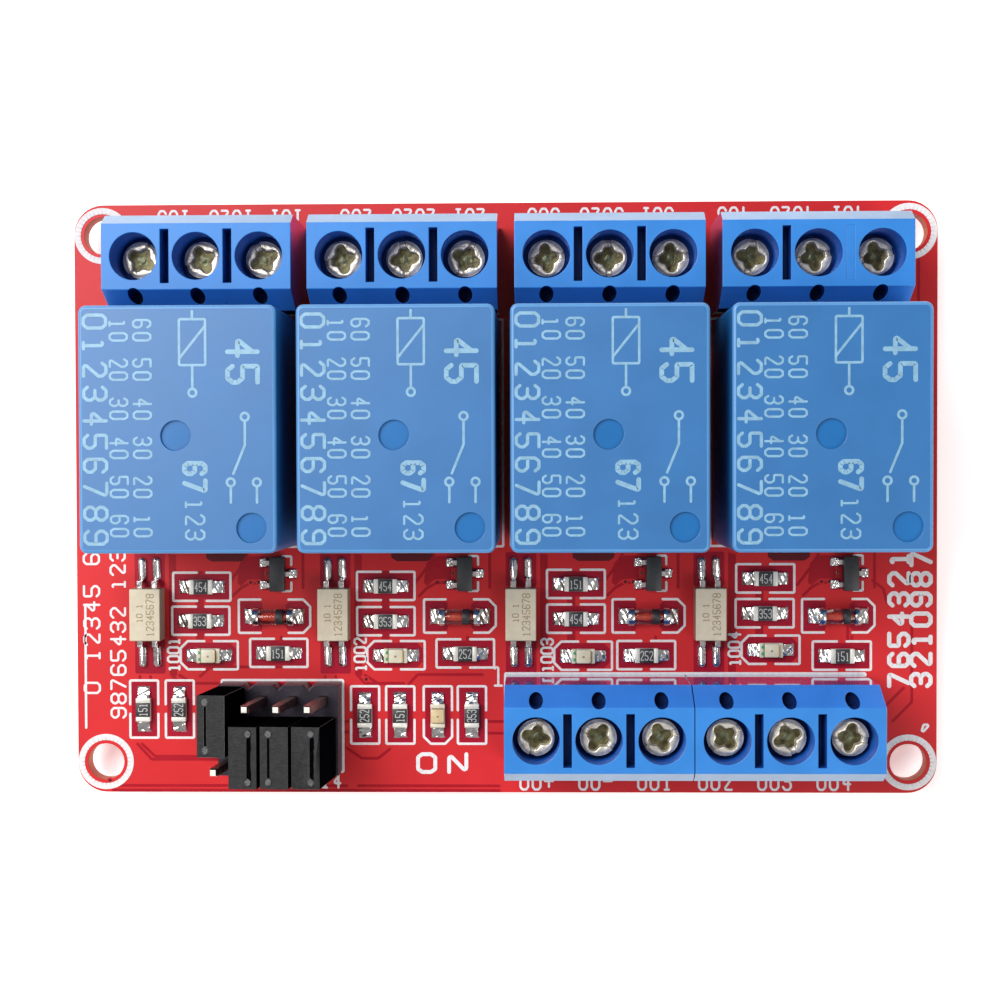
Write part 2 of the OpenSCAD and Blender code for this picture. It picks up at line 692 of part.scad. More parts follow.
// Rising cages: the screw is threaded into the top and pulls the cage up against the wire
module terminal_cages()
  color("khaki") for (i = blocks) at_block(i) at_poles() difference() {
    span([-cage_w / 2, cage_v[0], cage_z[0]], [cage_w / 2, cage_v[1], cage_z[1]]);
    span([-cage_w / 2 + cage_wall, 0, cage_z[0] + cage_wall],
         [cage_w / 2 - cage_wall, block_d, cage_z[1] - cage_top_t]);
    translate([0, screw_v, cage_z[1] - 2]) cylinder(d = shank_d + 0.08, h = 4);
  }

// Contact plates: a tongue through the cage, bent down at the back into the soldered pin
module terminal_pins()
  color("silver") for (i = blocks) at_block(i) at_poles() {
    v0 = pin_v - contact_plate_t / 2;
    w = cage_w / 2 - cage_wall - 0.1;
    span([-w, v0, contact_plate_z], [w, cage_v[1] + 0.1, contact_plate_z + contact_plate_t]);
    span([-w, v0, cage_low_z - 0.1], [w, v0 + contact_plate_t, contact_plate_z + eps]);
    span([-terminal_pin_w / 2, v0, -board_t - pin_below],
         [terminal_pin_w / 2, v0 + contact_plate_t, cage_low_z - 0.1 + eps]);
  }

// ---------------------------------------------------------------- trigger header

module header_body()
  color("#202020") difference() {
    translate([header_at.x, header_at.y, board_t])
      post(header_cols * header_pitch, header_rows * header_pitch, 0, header_body_h);
    for (c = [0 : header_cols - 1], r = [0 : header_rows - 1]) at_header(c, r)
      post(header_pin, header_pin, -1, header_body_h + 1);
    for (c = [0.5 : header_cols - 1.5], s = [-1, 1])
      translate([header_at.x + (c - (header_cols - 1) / 2) * header_pitch,
                 header_at.y + s * header_rows * header_pitch / 2, board_t + header_body_h / 2])
        rotate(45) cube([0.6, 0.6, header_body_h + 2], center = true);
  }

// Square pins with pointed ends that lean above the plastic body
module header_pins()
  color("gold") for (c = [0 : header_cols - 1], r = [0 : header_rows - 1]) at_header(c, r) {
    tip = 0.3;
    post(header_pin, header_pin, -board_t - header_pin_below + tip, header_body_h + 0.03);
    translate([0, 0, -board_t - header_pin_below]) rotate(45)
      cylinder(d1 = header_pin, d2 = header_pin * sqrt(2), h = tip + eps, $fn = 4);
    on_pins() {
      post(header_pin, header_pin, 0, header_pin_above - tip);
      translate([0, 0, header_pin_above - tip - eps]) rotate(45)
        cylinder(d1 = header_pin * sqrt(2), d2 = header_pin, h = tip, $fn = 4);
    }
  }

// Places children between the two pins under jumper cap i, at the top of the plastic body
module at_cap(i)
  at_header(i, caps_row[i] + 0.5) on_pins() rotate(i % 2 == 0 ? 0 : 180) children();

// A cap with two square holes from below and a narrow test slit in its top
module jumper_cap(i)
  color("#181818") at_cap(i) difference() {
    slit_x = cap_w / 2 - 0.7;
    union() {
      post(cap_w, cap_l, cap_gap, cap_gap + cap_h);
      for (y = [-1, 1])
        translate([-slit_x, y * (cap_l / 2 - 0.55), cap_gap + cap_h - eps])
        cylinder(d = 0.55, h = 0.1);
    }
    for (y = [-1, 1]) translate([0, y * header_pitch / 2, 0])
      post(clip_hole.x, clip_hole.y, 0, clip_top_z + 0.02);
    post(clip_hole.x, header_pitch + clip_hole.y, clip_top_z - 0.8, clip_top_z + 0.02);
    translate([-slit_x, 0, 0])
      post(0.22, cap_l - 1.8, clip_top_z - 0.5, cap_gap + cap_h + 1);
  }

// The spring clip: two blades beside each pin, joined by a bridge over the pins
module jumper_clip(i)
  color("khaki") at_cap(i) {
    gap = header_pin / 2 + run;
    for (y = [-1, 1], x = [-1, 1])
      translate([x * (gap + blade_t / 2), y * header_pitch / 2, 0])
        post(blade_t, clip_hole.y - 0.1, cap_gap + 0.6, clip_top_z);
    post(2 * (gap + blade_t), header_pitch + clip_hole.y - 0.1,
         header_pin_above + 0.03, clip_top_z);
  }

// ---------------------------------------------------------------- output

circuit_board();
solder_joints();
for (i = relays) {
  relay_case(i);
  relay_armature(i);
  relay_leaf(i);
  jumper_cap(i);
  jumper_clip(i);
}
relay_bases();
relay_bobbins();
relay_coils();
relay_cores();
relay_yokes();
relay_common_strips();
relay_closed_contacts();
relay_open_contacts();
relay_coil_pins();
for (i = blocks) {
  terminal_housing(i);
  terminal_screws(i);
}
terminal_cages();
terminal_pins();
header_body();
header_pins();
photocouplers();
photocoupler_leads();
transistors();
transistor_leads();
diode_glass();
diode_ends();
chip_resistors();
chip_ends();
channel_lamps();
power_lamp();
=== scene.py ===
# %% [markdown]
# # A four-channel relay module board
# This lesson dresses a finished CAD assembly of a relay board: four relays, six screw terminals, a
# trigger header and a few dozen small parts. Every size and place comes from the CAD frame, so
# nothing is fitted by eye. The script adds soft edges, solder, print, marks and finishes.

import math
import random

import bmesh
import bpy
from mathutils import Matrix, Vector


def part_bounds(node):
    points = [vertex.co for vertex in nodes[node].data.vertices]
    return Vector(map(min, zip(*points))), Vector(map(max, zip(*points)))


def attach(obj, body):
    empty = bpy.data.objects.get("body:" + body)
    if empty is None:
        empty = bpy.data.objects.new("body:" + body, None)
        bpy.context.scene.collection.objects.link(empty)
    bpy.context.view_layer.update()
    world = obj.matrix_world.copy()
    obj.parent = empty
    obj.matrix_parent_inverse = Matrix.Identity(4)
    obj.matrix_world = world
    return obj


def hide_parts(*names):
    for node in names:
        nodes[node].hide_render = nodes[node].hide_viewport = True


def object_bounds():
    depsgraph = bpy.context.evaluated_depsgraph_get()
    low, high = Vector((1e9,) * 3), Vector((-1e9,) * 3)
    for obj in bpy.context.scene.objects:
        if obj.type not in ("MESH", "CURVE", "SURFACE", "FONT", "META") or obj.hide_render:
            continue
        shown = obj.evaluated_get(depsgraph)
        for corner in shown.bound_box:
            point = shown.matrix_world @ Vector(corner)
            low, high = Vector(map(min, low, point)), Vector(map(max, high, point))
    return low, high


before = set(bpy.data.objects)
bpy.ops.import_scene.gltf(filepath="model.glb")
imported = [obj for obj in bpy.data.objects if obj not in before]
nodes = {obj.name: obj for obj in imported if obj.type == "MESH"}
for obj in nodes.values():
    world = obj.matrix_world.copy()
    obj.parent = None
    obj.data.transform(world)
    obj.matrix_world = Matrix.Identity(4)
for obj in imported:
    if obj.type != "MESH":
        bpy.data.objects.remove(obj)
cad_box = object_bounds()
MM = 0.001
scene = bpy.context.scene


def box_mm(name):
    """Low and high corner of a node's box, in mm."""
    return [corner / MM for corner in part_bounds(name)]


board_low, board_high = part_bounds("circuit_board")
TOP = board_high.z / MM                     # board's upper face, in mm
print("board, mm:", [round(v / MM, 2) for v in (*board_low, *board_high)])

# %% [markdown]
# ## Camera
# The board is seen almost straight from above, from about twice its own length. A camera this
# close shows the inner sides of tall parts, so its distance matters more than its exact aim.

# %% Camera
lens = bpy.data.cameras.new("view_from_above")
lens.sensor_width, lens.lens, lens.clip_start = 36.0, 63.65, 0.01     # mm, mm, m
camera = bpy.data.objects.new("view_from_above", lens)
VIEW_HEIGHT = 149.99                        # above the board's upper face, in mm
camera.location = (3.27 * MM, 3.0 * MM, (TOP + VIEW_HEIGHT) * MM)
camera.rotation_euler = [math.radians(a) for a in (-1.211, 1.368, -0.168)]
scene.collection.objects.link(camera)
scene.camera = camera

# %% [markdown]
# ## Studio
# A white floor and a white sky give even light. One large lamp from the upper left, quite close,
# draws the soft highlights on the relay tops, and a weak one from the lower right opens the deep
# shadows. The floor glows a little, like a light table, which thins the cast shadow.

# %% Studio
scene.view_settings.view_transform = "Standard"
WHITE, PAPER_WHITE = (1, 1, 1, 1), (0.97, 0.97, 0.97, 1)
GLOW = 0.34                                 # strength of the sky and of the floor's own light
FLOOR_GAP = 0.02                            # mm between the floor and the lowest point


def softbox(name, place, size, power):
    data = bpy.data.lights.new(name, "AREA")
    data.shape, data.size, data.size_y, data.energy = "RECTANGLE", *size, power
    lamp = bpy.data.objects.new(name, data)
    lamp.location = place
    lamp.rotation_euler = Vector(place).to_track_quat("Z", "Y").to_euler()
    scene.collection.objects.link(lamp)


def studio_floor(half=5.0):
    z = cad_box[0][2] - FLOOR_GAP * MM
    mesh = bpy.data.meshes.new("studio_floor")
    mesh.from_pydata([(-half, -half, z), (half, -half, z), (half, half, z), (-half, half, z)],
                     [], [(0, 1, 2, 3)])
    floor = bpy.data.objects.new("studio_floor", mesh)
    scene.collection.objects.link(floor)
    paper = bpy.data.materials.new("white_paper")
    paper.use_nodes = True
    shader = paper.node_tree.nodes["Principled BSDF"]
    for socket, value in (("Base Color", PAPER_WHITE), ("Roughness", 0.9),
                          ("Emission Color", WHITE), ("Emission Strength", GLOW)):
        shader.inputs[socket].default_value = value
    mesh.materials.append(paper)


studio_floor()
world = bpy.data.worlds.new("white_room")
world.use_nodes = True
sky = world.node_tree.nodes["Background"]
sky.inputs["Color"].default_value, sky.inputs["Strength"].default_value = WHITE, GLOW
scene.world = world
softbox("key", (-0.20, 0.14, 0.33), (0.28, 0.28), 2.15)
softbox("fill", (0.30, -0.26, 0.42), (0.30, 0.30), 1.3)

# %% [markdown]
# ## The finish recipe
# Moulded plastic, solder mask and tin share one recipe: a colour that drifts a little from place to
# place, a roughness that drifts with it, and a fine bump. One function builds that graph, and each
# finish is a call with its own scale. Object coordinates are in metres, so a noise scale of 1000
# has features of about a millimetre.


# %% Finish recipe
BUMP_REACH = 0.00005                        # depth of the fine bump, in metres


def add(tree, kind, links=(), **values):
    """Adds a node, sets its properties or input values by name, and links (output, input) pairs."""
    node = tree.nodes.new(kind)
    for key, value in values.items():
        if hasattr(node, key):
            setattr(node, key, value)
        else:
            node.inputs[key.replace("_", " ")].default_value = value
    for source, target in links:
        tree.links.new(source, node.inputs[target])
    return node


def finish(name, colour, rough=0.4, rough_drift=0.06, drift=0.06, grain=900.0, bump=0.0,
           bump_grain=6000.0, metal=0.0, coat=0.0, tint=None, **sockets):
    """A material whose colour and roughness drift with one noise, and whose bump has another."""
    mat = bpy.data.materials.new(name)
    mat.use_nodes = True
    tree = mat.node_tree
    shader = tree.nodes["Principled BSDF"]
    place = add(tree, "ShaderNodeTexCoord").outputs["Object"]
    cloud = add(tree, "ShaderNodeTexNoise", [(place, "Vector")], Scale=grain, Detail=4)
    ramp = add(tree, "ShaderNodeValToRGB", [(cloud.outputs["Fac"], "Fac")])
    dark, light = ramp.color_ramp.elements
    dark.position, light.position = 0.3, 0.7
    dark.color = (*[c * (1 - drift) for c in colour], 1)
    light.color = (*[min(1, c * (1 + drift)) for c in tint or colour], 1)
    tree.links.new(ramp.outputs["Color"], shader.inputs["Base Color"])
    span = add(tree, "ShaderNodeMapRange", [(cloud.outputs["Fac"], "Value")],
               To_Min=max(0.02, rough - rough_drift), To_Max=min(1, rough + rough_drift))
    tree.links.new(span.outputs["Result"], shader.inputs["Roughness"])
    if bump:
        fine = add(tree, "ShaderNodeTexNoise", [(place, "Vector")], Scale=bump_grain, Detail=3)
        relief = add(tree, "ShaderNodeBump", [(fine.outputs["Fac"], "Height")], Strength=bump,
                     Distance=BUMP_REACH)
        tree.links.new(relief.outputs["Normal"], shader.inputs["Normal"])
    for socket, value in {"Metallic": metal, "Coat_Weight": coat, **sockets}.items():
        shader.inputs[socket.replace("_", " ")].default_value = value
    return mat


# %% [markdown]
# ## Plastics, metals, mask and print
# The relay cases are satin, the terminals glossier, and tinned parts are bright and uneven because
# molten tin freezes in soft lumps. The solder mask is a clear red lacquer: over copper it looks
# bright, and over bare laminate darker, which is what makes the traces visible.

# %% Finishes of this board
hazy = {"Specular_IOR_Level": 0.8}
relay_blue = finish("relay_blue", (0.004, 0.114, 0.325), 0.42, 0.05, 0.05, 260, 0.12, 9000, **hazy)
relay_dimple = finish("relay_dimple", (0.004, 0.114, 0.335), 0.32, 0.04, 0.05, 260, 0.05, 9000)
# A lighter blue for the rounded top rim of the relay cases: a painted highlight.
relay_edge = finish("relay_edge", (0.075, 0.23, 0.48), 0.36, 0.05, 0.05, 260, 0.12, 9000)
terminal_blue = finish("terminal_blue", (0.021, 0.180, 0.53), 0.38, 0.06, 0.06, 400, 0.08, 7000,
                       Specular_IOR_Level=0.42)
# A paler, bluer copy for the slope towards the relays: a painted reflection of the relay.
terminal_slope = finish("terminal_slope", (0.036, 0.205, 0.68), 0.30, 0.06, 0.06, 400, 0.08, 7000)
terminal_gloss = finish("terminal_gloss", (0.020, 0.13, 0.45), 0.09, 0.03, 0.06, 400, 0.03, 3000,
                        coat=1.0)
# Darker blue for the inner walls and floors of wells and slits: a painted shade.
terminal_deep = finish("terminal_deep", (0.012, 0.085, 0.37), 0.40, 0.06, 0.10, 400, 0.08, 7000,
                       Specular_IOR_Level=0.25)
# Darkest blue for inner faces near the side towards the relays: a painted shade.
terminal_hole = finish("terminal_hole", (0.004, 0.020, 0.11), 0.5, 0.06, 0.10, 400, 0.08, 7000,
                       Specular_IOR_Level=0.1)
# A paler, greyer blue for the wire-side slope of the terminal blocks: a painted highlight.
moulding_edge = finish("moulding_edge", (0.25, 0.35, 0.51), 0.45, 0.05, 0.08, 600, 0.1, 7000)
lacquer = {"Specular_IOR_Level": 0.2}
mask_red = finish("mask_red", (0.54, 0.020, 0.024), 0.34, 0.05, 0.07, 120, 0.05, 3000, **lacquer)
mask_dark = finish("mask_dark", (0.30, 0.004, 0.020), 0.30, 0.05, 0.10, 300, 0.05, 3000, **lacquer)
mask_shade = finish("mask_shade", (0.33, 0.005, 0.014), 0.30, 0.05, 0.10, 300, 0.05, 3000,
                    **lacquer)
mask_brown = finish("mask_brown", (0.10, 0.007, 0.012), 0.34, 0.05, 0.10, 300, 0.05, 3000,
                    **lacquer)
laminate = finish("laminate", (0.56, 0.16, 0.07), 0.6, 0.05, 0.12, 2500, 0.3, 9000)
print_white = finish("print_white", (0.68, 0.64, 0.64), 0.6, 0.05, 0.08, 3000, 0.2, 12000)
relay_print = finish("relay_print", (0.17, 0.335, 0.47), 0.42, 0.05, 0.14, 2200, 0.2, 12000, **hazy)
tin = finish("tin", (0.70, 0.68, 0.66), 0.20, 0.12, 0.20, 2500, 0.9, 1900, metal=1.0)
solder_dull = finish("solder_dull", (0.60, 0.59, 0.57), 0.40, 0.10, 0.12, 2500, 0.5, 3000,
                     metal=0.5)
tin_matte = finish("tin_matte", (0.70, 0.67, 0.60), 0.50, 0.08, 0.08, 2500, 0.4, 6000, metal=0.3)
screw_zinc = finish("screw_zinc", (0.74, 0.68, 0.57), 0.34, 0.12, 0.25, 1800, 0.9, 3000, metal=0.6)
screw_brown = finish("screw_brown", (0.060, 0.042, 0.010), 0.36, 0.12, 0.50, 1800, 1.0, 2600,
                     metal=0.5, tint=(0.10, 0.09, 0.035))
screw_olive = finish("screw_olive", (0.115, 0.10, 0.030), 0.32, 0.12, 0.40, 1800, 1.0, 2600,
                     metal=0.6, tint=(0.14, 0.16, 0.10))
black_plastic = finish("black_plastic", (0.016, 0.010, 0.020), 0.36, 0.06, 0.3, 900, 0.3, 5000,
                       Specular_IOR_Level=0.35)
# Near black and without gloss: painted shade for the caps' sides and slits.
jumper_side = finish("jumper_side", (0.0015, 0.0015, 0.002), 0.7, 0.08, 0.2, 900, 0.3, 8000,
                     Specular_IOR_Level=0.0)
jumper_black = finish("jumper_black", (0.014, 0.014, 0.015), 0.6, 0.08, 0.45, 2500, 0.8, 5000,
                      Specular_IOR_Level=0.3)
# A lighter grey for the caps' bevels and nubs: a painted highlight.
jumper_edge = finish("jumper_edge", (0.07, 0.07, 0.07), 0.55, 0.08, 0.45, 4000, 0.8, 6000)
# A darkened brass for the spring clip inside each cap: a painted shade.
clip_dark = finish("clip_dark", (0.06, 0.05, 0.03), 0.45, 0.08, 0.2, 1500, 0.3, 6000, metal=0.6)
coupler_resin = finish("coupler_resin", (0.53, 0.46, 0.34), 0.55, 0.05, 0.06, 1500, 0.25, 12000)
# A darker brown for the couplers' sides: a painted shade.
coupler_side = finish("coupler_side", (0.30, 0.21, 0.14), 0.5, 0.05, 0.08, 1500, 0.25, 12000)
ink_brown = finish("ink_brown", (0.27, 0.19, 0.10), 0.6, 0.05, 0.2, 3000, 0.1, 9000)
chip_black = finish("chip_black", (0.020, 0.020, 0.022), 0.45, 0.08, 0.2, 2500, 0.3, 12000)
ceramic = finish("ceramic", (0.66, 0.63, 0.56), 0.5, 0.06, 0.06, 2500, 0.2, 12000)
chip_print = finish("chip_print", (0.45, 0.45, 0.43), 0.6, 0.05, 0.1, 3000, 0.1, 12000)
gold_pin = finish("gold_pin", (0.30, 0.18, 0.155), 0.30, 0.08, 0.15, 2000, 0.2, 6000, metal=1.0)
bronze = finish("bronze", (0.75, 0.52, 0.26), 0.3, 0.08, 0.12, 900, 0.15, 5000, metal=1.0)
soft_iron = finish("soft_iron", (0.52, 0.53, 0.55), 0.35, 0.08, 0.10, 900, 0.2, 5000, metal=1.0)
copper_wire = finish("copper_wire", (0.62, 0.26, 0.10), 0.3, 0.08, 0.15, 1200, 0.5, 9000, metal=0.8)
bobbin_white = finish("bobbin_white", (0.70, 0.68, 0.62), 0.5, 0.06, 0.05, 900, 0.1, 7000)
base_blue = finish("base_blue", (0.02, 0.085, 0.27), 0.45, 0.06, 0.08, 600, 0.1, 7000)
cage_brass = finish("cage_brass", (0.72, 0.66, 0.46), 0.3, 0.08, 0.12, 900, 0.15, 5000, metal=1.0)
glass_orange = finish("glass_orange", (0.90, 0.085, 0.04), 0.25, 0.06, 0.30, 1500, 0.3, 3000)
clear_glass = finish("clear_glass", (0.96, 0.90, 0.88), 0.03, 0.01, 0.03, 1500, 0.0, 4000,
                     Transmission_Weight=1.0, IOR=1.46)
lamp_cream = finish("lamp_cream", (0.62, 0.56, 0.42), 0.35, 0.06, 0.08, 1500, 0.1, 9000)
lamp_amber = finish("lamp_amber", (0.56, 0.43, 0.24), 0.30, 0.06, 0.12, 1500, 0.1, 9000)
mark_green = finish("mark_green", (0.02, 0.26, 0.12), 0.5, 0.05, 0.1, 2500, 0.1, 9000)

# %% [markdown]
# ## Softened copies
# A CAD solid has knife-sharp edges, and no moulded or stamped part has. A copy of the mesh is
# merged, its flat triangles joined into large faces, and its edges bevelled by a few hundredths of
# a millimetre, so that each edge catches a thin line of light.


# %% Softened copies
SMOOTH_ANGLE, BEVEL_ANGLE, FLAT_ANGLE = 35, 30, 0.5     # degrees
WELD = 2e-6                                 # points nearer than this become one, in metres


def plain_object(name, mesh, *materials):
    obj = bpy.data.objects.new(name, mesh)
    scene.collection.objects.link(obj)
    for material in materials:
        mesh.materials.append(material)
    return obj


def mesh_of(name, bm):
    """Ends a bmesh and keeps its shape as a mesh."""
    mesh = bpy.data.meshes.new(name)
    bm.to_mesh(mesh)
    bm.free()
    return mesh


def as_object(name, bm, *materials):
    return plain_object(name, mesh_of(name, bm), *materials)


def settled(obj, flat_first=False):
    """Applies the modifiers by taking the evaluated mesh, and shades it smooth between edges; with
    flat_first, large faces keep their own direction and only the bevels turn."""
    graph = bpy.context.evaluated_depsgraph_get()
    mesh = bpy.data.meshes.new_from_object(obj.evaluated_get(graph))
    old = obj.data
    obj.modifiers.clear()
    obj.data = mesh
    bpy.data.meshes.remove(old)
    mesh.name = obj.name
    if mesh.has_custom_normals:
        return obj
    mesh.polygons.foreach_set("use_smooth", [True] * len(mesh.polygons))
    mesh.set_sharp_from_angle(angle=math.radians(SMOOTH_ANGLE))
    if flat_first:
        lean = obj.modifiers.new("lean", "WEIGHTED_NORMAL")
        lean.mode, lean.weight, lean.keep_sharp = "FACE_AREA", 90, True
        return settled(obj)
    return obj


def belongs(obj, body, slot, *replaced):
    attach(obj, body)
    if replaced:
        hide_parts(*replaced)
    return obj


def merged(*names):
    bm = bmesh.new()
    for name in names:
        bm.from_mesh(nodes[name].data)
    bmesh.ops.remove_doubles(bm, verts=bm.verts, dist=WELD)
    bmesh.ops.dissolve_limit(bm, angle_limit=math.radians(FLAT_ANGLE), verts=bm.verts,
                             edges=bm.edges)
    for face in bm.faces:
        face.material_index = 0
    return bm


def softened(name, node, width, material, body, slot, steps=2, paint=None, extra=(), edge=-1):
    """A bevelled copy of a CAD node; paint(normal, centre in mm, area) may pick another material,
    and edge is the number of the material that the bevels take."""
    obj = as_object(name, merged(node), material, *extra)
    if paint:
        for face in obj.data.polygons:
            face.material_index = paint(face.normal, face.center / MM, face.area / MM ** 2)
    bevel = obj.modifiers.new("soft_edges", "BEVEL")
    bevel.width, bevel.segments = width * MM, steps
    bevel.limit_method, bevel.angle_limit = "ANGLE", math.radians(BEVEL_ANGLE)
    bevel.use_clamp_overlap, bevel.material = True, edge
    settled(obj, True)
    return belongs(obj, body, slot, node)


# %% [markdown]
# ## The bare board
# A circuit board is glass cloth in resin, lacquered on both faces and left bare on its milled
# edges, so faces that look sideways get the laminate finish.

# %% Bare board
board = softened("board_panel", "circuit_board", 0.04, mask_red, "board", "solder_mask", 1,
                 lambda normal, at, area: int(abs(normal.z) < 0.5), (laminate,))
print("board faces:", len(board.data.polygons))

# %% [markdown]
# ## Terminal housings
# Each three-pole block is moulded in one piece. The slope on the wire side is painted a paler blue,
# a painted highlight. The inner walls of its wells and slits are painted darker, a painted shade,
# darkest near the side towards the relays, and the slope towards the relays is painted paler and
# bluer, a painted reflection of the relay in front of it.

# %% Terminal housings
for i in range(1, 7):
    low, high = box_mm(f"terminal_housing_{i}")
    wire_side = 1 if i < 5 else -1

    def where(normal, at, area, side=wire_side, low=low, high=high):
        # The wire-side slope gets the paler blue, a painted highlight.
        if 0.2 < normal.z < 0.95 and normal.y * side > 0.3 and area > 5:
            return 1
        inside = low.x + 0.3 < at.x < high.x - 0.3 and low.y + 0.3 < at.y < high.y - 0.3
        if inside and at.z < high.z - 0.05 and (abs(normal.z) < 0.1 or area < 0.7
                                                or (normal.z > 0.9 and at.z < high.z - 0.5)):
            # Inner walls and floors of wells and slits are painted darker, a painted shade, darkest
            # near the side towards the relays.
            back = low.y if side > 0 else high.y
            return 4 if abs(at.y - back) < 2.1 else 3
        if 0.2 < normal.z < 0.95 and normal.y * side < -0.3:
            return 5                        # painted paler and bluer: a painted reflection of the relay in front of it
        return 2 if normal.y * side < -0.9 or abs(normal.x) > 0.9 else 0

    block = softened(f"terminal_block_{i}", f"terminal_housing_{i}", 0.07, terminal_blue, "board",
                     "terminal_blue", 2, where, (moulding_edge, terminal_gloss, terminal_deep,
                                                terminal_hole, terminal_slope))
print("block faces:", len(block.data.polygons))

# %% [markdown]
# ## Two Geometry Nodes trees
# Almost everything small on a circuit board is either a line that follows a path, such as print,
# traces and lettering, or a copy of one part at many places, such as screws, solder and chips. The
# first tree sweeps a flat rectangle along polylines and rounds their ends. The second puts a copy
# of a part on every point, turned and stretched by attributes of that point.


# %% Tree helpers
def new_tree(name, sockets):
    tree = bpy.data.node_groups.new(name, "GeometryNodeTree")
    tree.interface.new_socket("Geometry", in_out="INPUT", socket_type="NodeSocketGeometry")
    for label, kind, value in sockets:
        socket = tree.interface.new_socket(label, in_out="INPUT", socket_type=kind)
        if value is not None:
            socket.default_value = value
    tree.interface.new_socket("Geometry", in_out="OUTPUT", socket_type="NodeSocketGeometry")
    return tree, tree.nodes.new("NodeGroupInput"), tree.nodes.new("NodeGroupOutput")


def grown(name, mesh, tree, values, slot, *replaced):
    """Runs a tree on a mesh and keeps the result as a plain mesh that rides on the board."""
    obj = plain_object(name, mesh)
    grow = obj.modifiers.new("grow", "NODES")
    grow.node_group = tree
    for item in tree.interface.items_tree:
        if item.in_out == "INPUT" and item.name in values:
            grow[item.identifier] = values[item.name]
    settled(obj)
    return belongs(obj, "board", slot, *replaced)


# %% Tree for drawn lines
DOT_RISE = 0.0000012                        # a line's round tips stand this proud, in metres
line_tree, given, result = new_tree("drawn_lines", [
    ("Width", "NodeSocketFloat", 0.0002), ("Thickness", "NodeSocketFloat", 0.00003),
    ("Corner Radius", "NodeSocketFloat", 0.0001), ("Paint", "NodeSocketMaterial", None)])
path = add(line_tree, "GeometryNodeMeshToCurve", [(given.outputs["Geometry"], "Mesh")])
bend = add(line_tree, "GeometryNodeFilletCurve", [
    (path.outputs["Curve"], "Curve"), (given.outputs["Corner Radius"], "Radius")],
    mode="POLY", Count=3)
bend.inputs["Limit Radius"].default_value = True
level = add(line_tree, "GeometryNodeSetCurveNormal", [(bend.outputs["Curve"], "Curve")],
            mode="Z_UP")
nib = add(line_tree, "GeometryNodeCurvePrimitiveQuadrilateral", [
    (given.outputs["Width"], "Width"), (given.outputs["Thickness"], "Height")])
swept = add(line_tree, "GeometryNodeCurveToMesh", [
    (level.outputs["Curve"], "Curve"), (nib.outputs["Curve"], "Profile Curve")])
swept.inputs["Fill Caps"].default_value = True
half = add(line_tree, "ShaderNodeMath", [(given.outputs["Width"], 0)], operation="MULTIPLY")
half.inputs[1].default_value = 0.5
taller = add(line_tree, "ShaderNodeMath", [(given.outputs["Thickness"], 0)], operation="ADD")
taller.inputs[1].default_value = DOT_RISE
dot = add(line_tree, "GeometryNodeMeshCylinder", [
    (half.outputs[0], "Radius"), (taller.outputs[0], "Depth")], Vertices=10)
tips = add(line_tree, "GeometryNodeCurveEndpointSelection")
loop = add(line_tree, "GeometryNodeInputSplineCyclic")
open_tips = add(line_tree, "FunctionNodeBooleanMath", [
    (tips.outputs[0], 0), (loop.outputs[0], 1)], operation="NIMPLY")
dots = add(line_tree, "GeometryNodeInstanceOnPoints", [
    (level.outputs["Curve"], "Points"), (open_tips.outputs[0], "Selection"),
    (dot.outputs["Mesh"], "Instance")])
joined = add(line_tree, "GeometryNodeJoinGeometry", [(swept.outputs["Mesh"], "Geometry")])
line_tree.links.new(dots.outputs["Instances"], joined.inputs["Geometry"])
real = add(line_tree, "GeometryNodeRealizeInstances", [(joined.outputs["Geometry"], "Geometry")])
painted = add(line_tree, "GeometryNodeSetMaterial", [
    (real.outputs["Geometry"], "Geometry"), (given.outputs["Paint"], "Material")])
line_tree.links.new(painted.outputs["Geometry"], result.inputs["Geometry"])

# %% Tree for copies on points
copy_tree, given, result = new_tree("copies_on_points", [
    ("Part", "NodeSocketObject", None), ("Finish", "NodeSocketMaterial", None)])
part = add(copy_tree, "GeometryNodeObjectInfo", [(given.outputs["Part"], "Object")])
turn = add(copy_tree, "GeometryNodeInputNamedAttribute", data_type="FLOAT_VECTOR", Name="turn")
grow = add(copy_tree, "GeometryNodeInputNamedAttribute", data_type="FLOAT_VECTOR", Name="stretch")
copies = add(copy_tree, "GeometryNodeInstanceOnPoints", [
    (given.outputs["Geometry"], "Points"), (part.outputs["Geometry"], "Instance"),
    (turn.outputs["Attribute"], "Rotation"), (grow.outputs["Attribute"], "Scale")])
real = add(copy_tree, "GeometryNodeRealizeInstances", [(copies.outputs["Instances"], "Geometry")])
painted = add(copy_tree, "GeometryNodeSetMaterial", [
    (real.outputs["Geometry"], "Geometry"), (given.outputs["Finish"], "Material")])
copy_tree.links.new(painted.outputs["Geometry"], result.inputs["Geometry"])
print("trees:", line_tree.name, len(line_tree.nodes), copy_tree.name, len(copy_tree.nodes))


# %% Lines and copies as calls
LAYERS, LAYER_STEP = 5, 0.0012              # neighbouring lines differ in height, in mm


def drawn(name, paths, width, low, high, material, corner=0.1):
    """Draws polylines given in mm as flat strips between two heights; a path that ends where it
    starts is closed. Neighbours lie at slightly different heights, because two faces in exactly one
    plane shade each other."""
    verts, edges = [], []
    for k, points in enumerate(paths):
        mid = (low + high) / 2 - LAYER_STEP * (k % LAYERS)
        closed = len(points) > 2 and points[0] == points[-1]
        points = points[:-1] if closed else points
        first = len(verts)
        verts += [(x * MM, y * MM, mid * MM) for x, y in points]
        edges += [(first + k, first + k + 1) for k in range(len(points) - 1)]
        if closed:
            edges.append((len(verts) - 1, first))
    mesh = bpy.data.meshes.new(name)
    mesh.from_pydata(verts, edges, [])
    return grown(name, mesh, line_tree, {
        "Width": width * MM, "Thickness": (high - low) * MM, "Corner Radius": corner * MM,
        "Paint": material}, None)


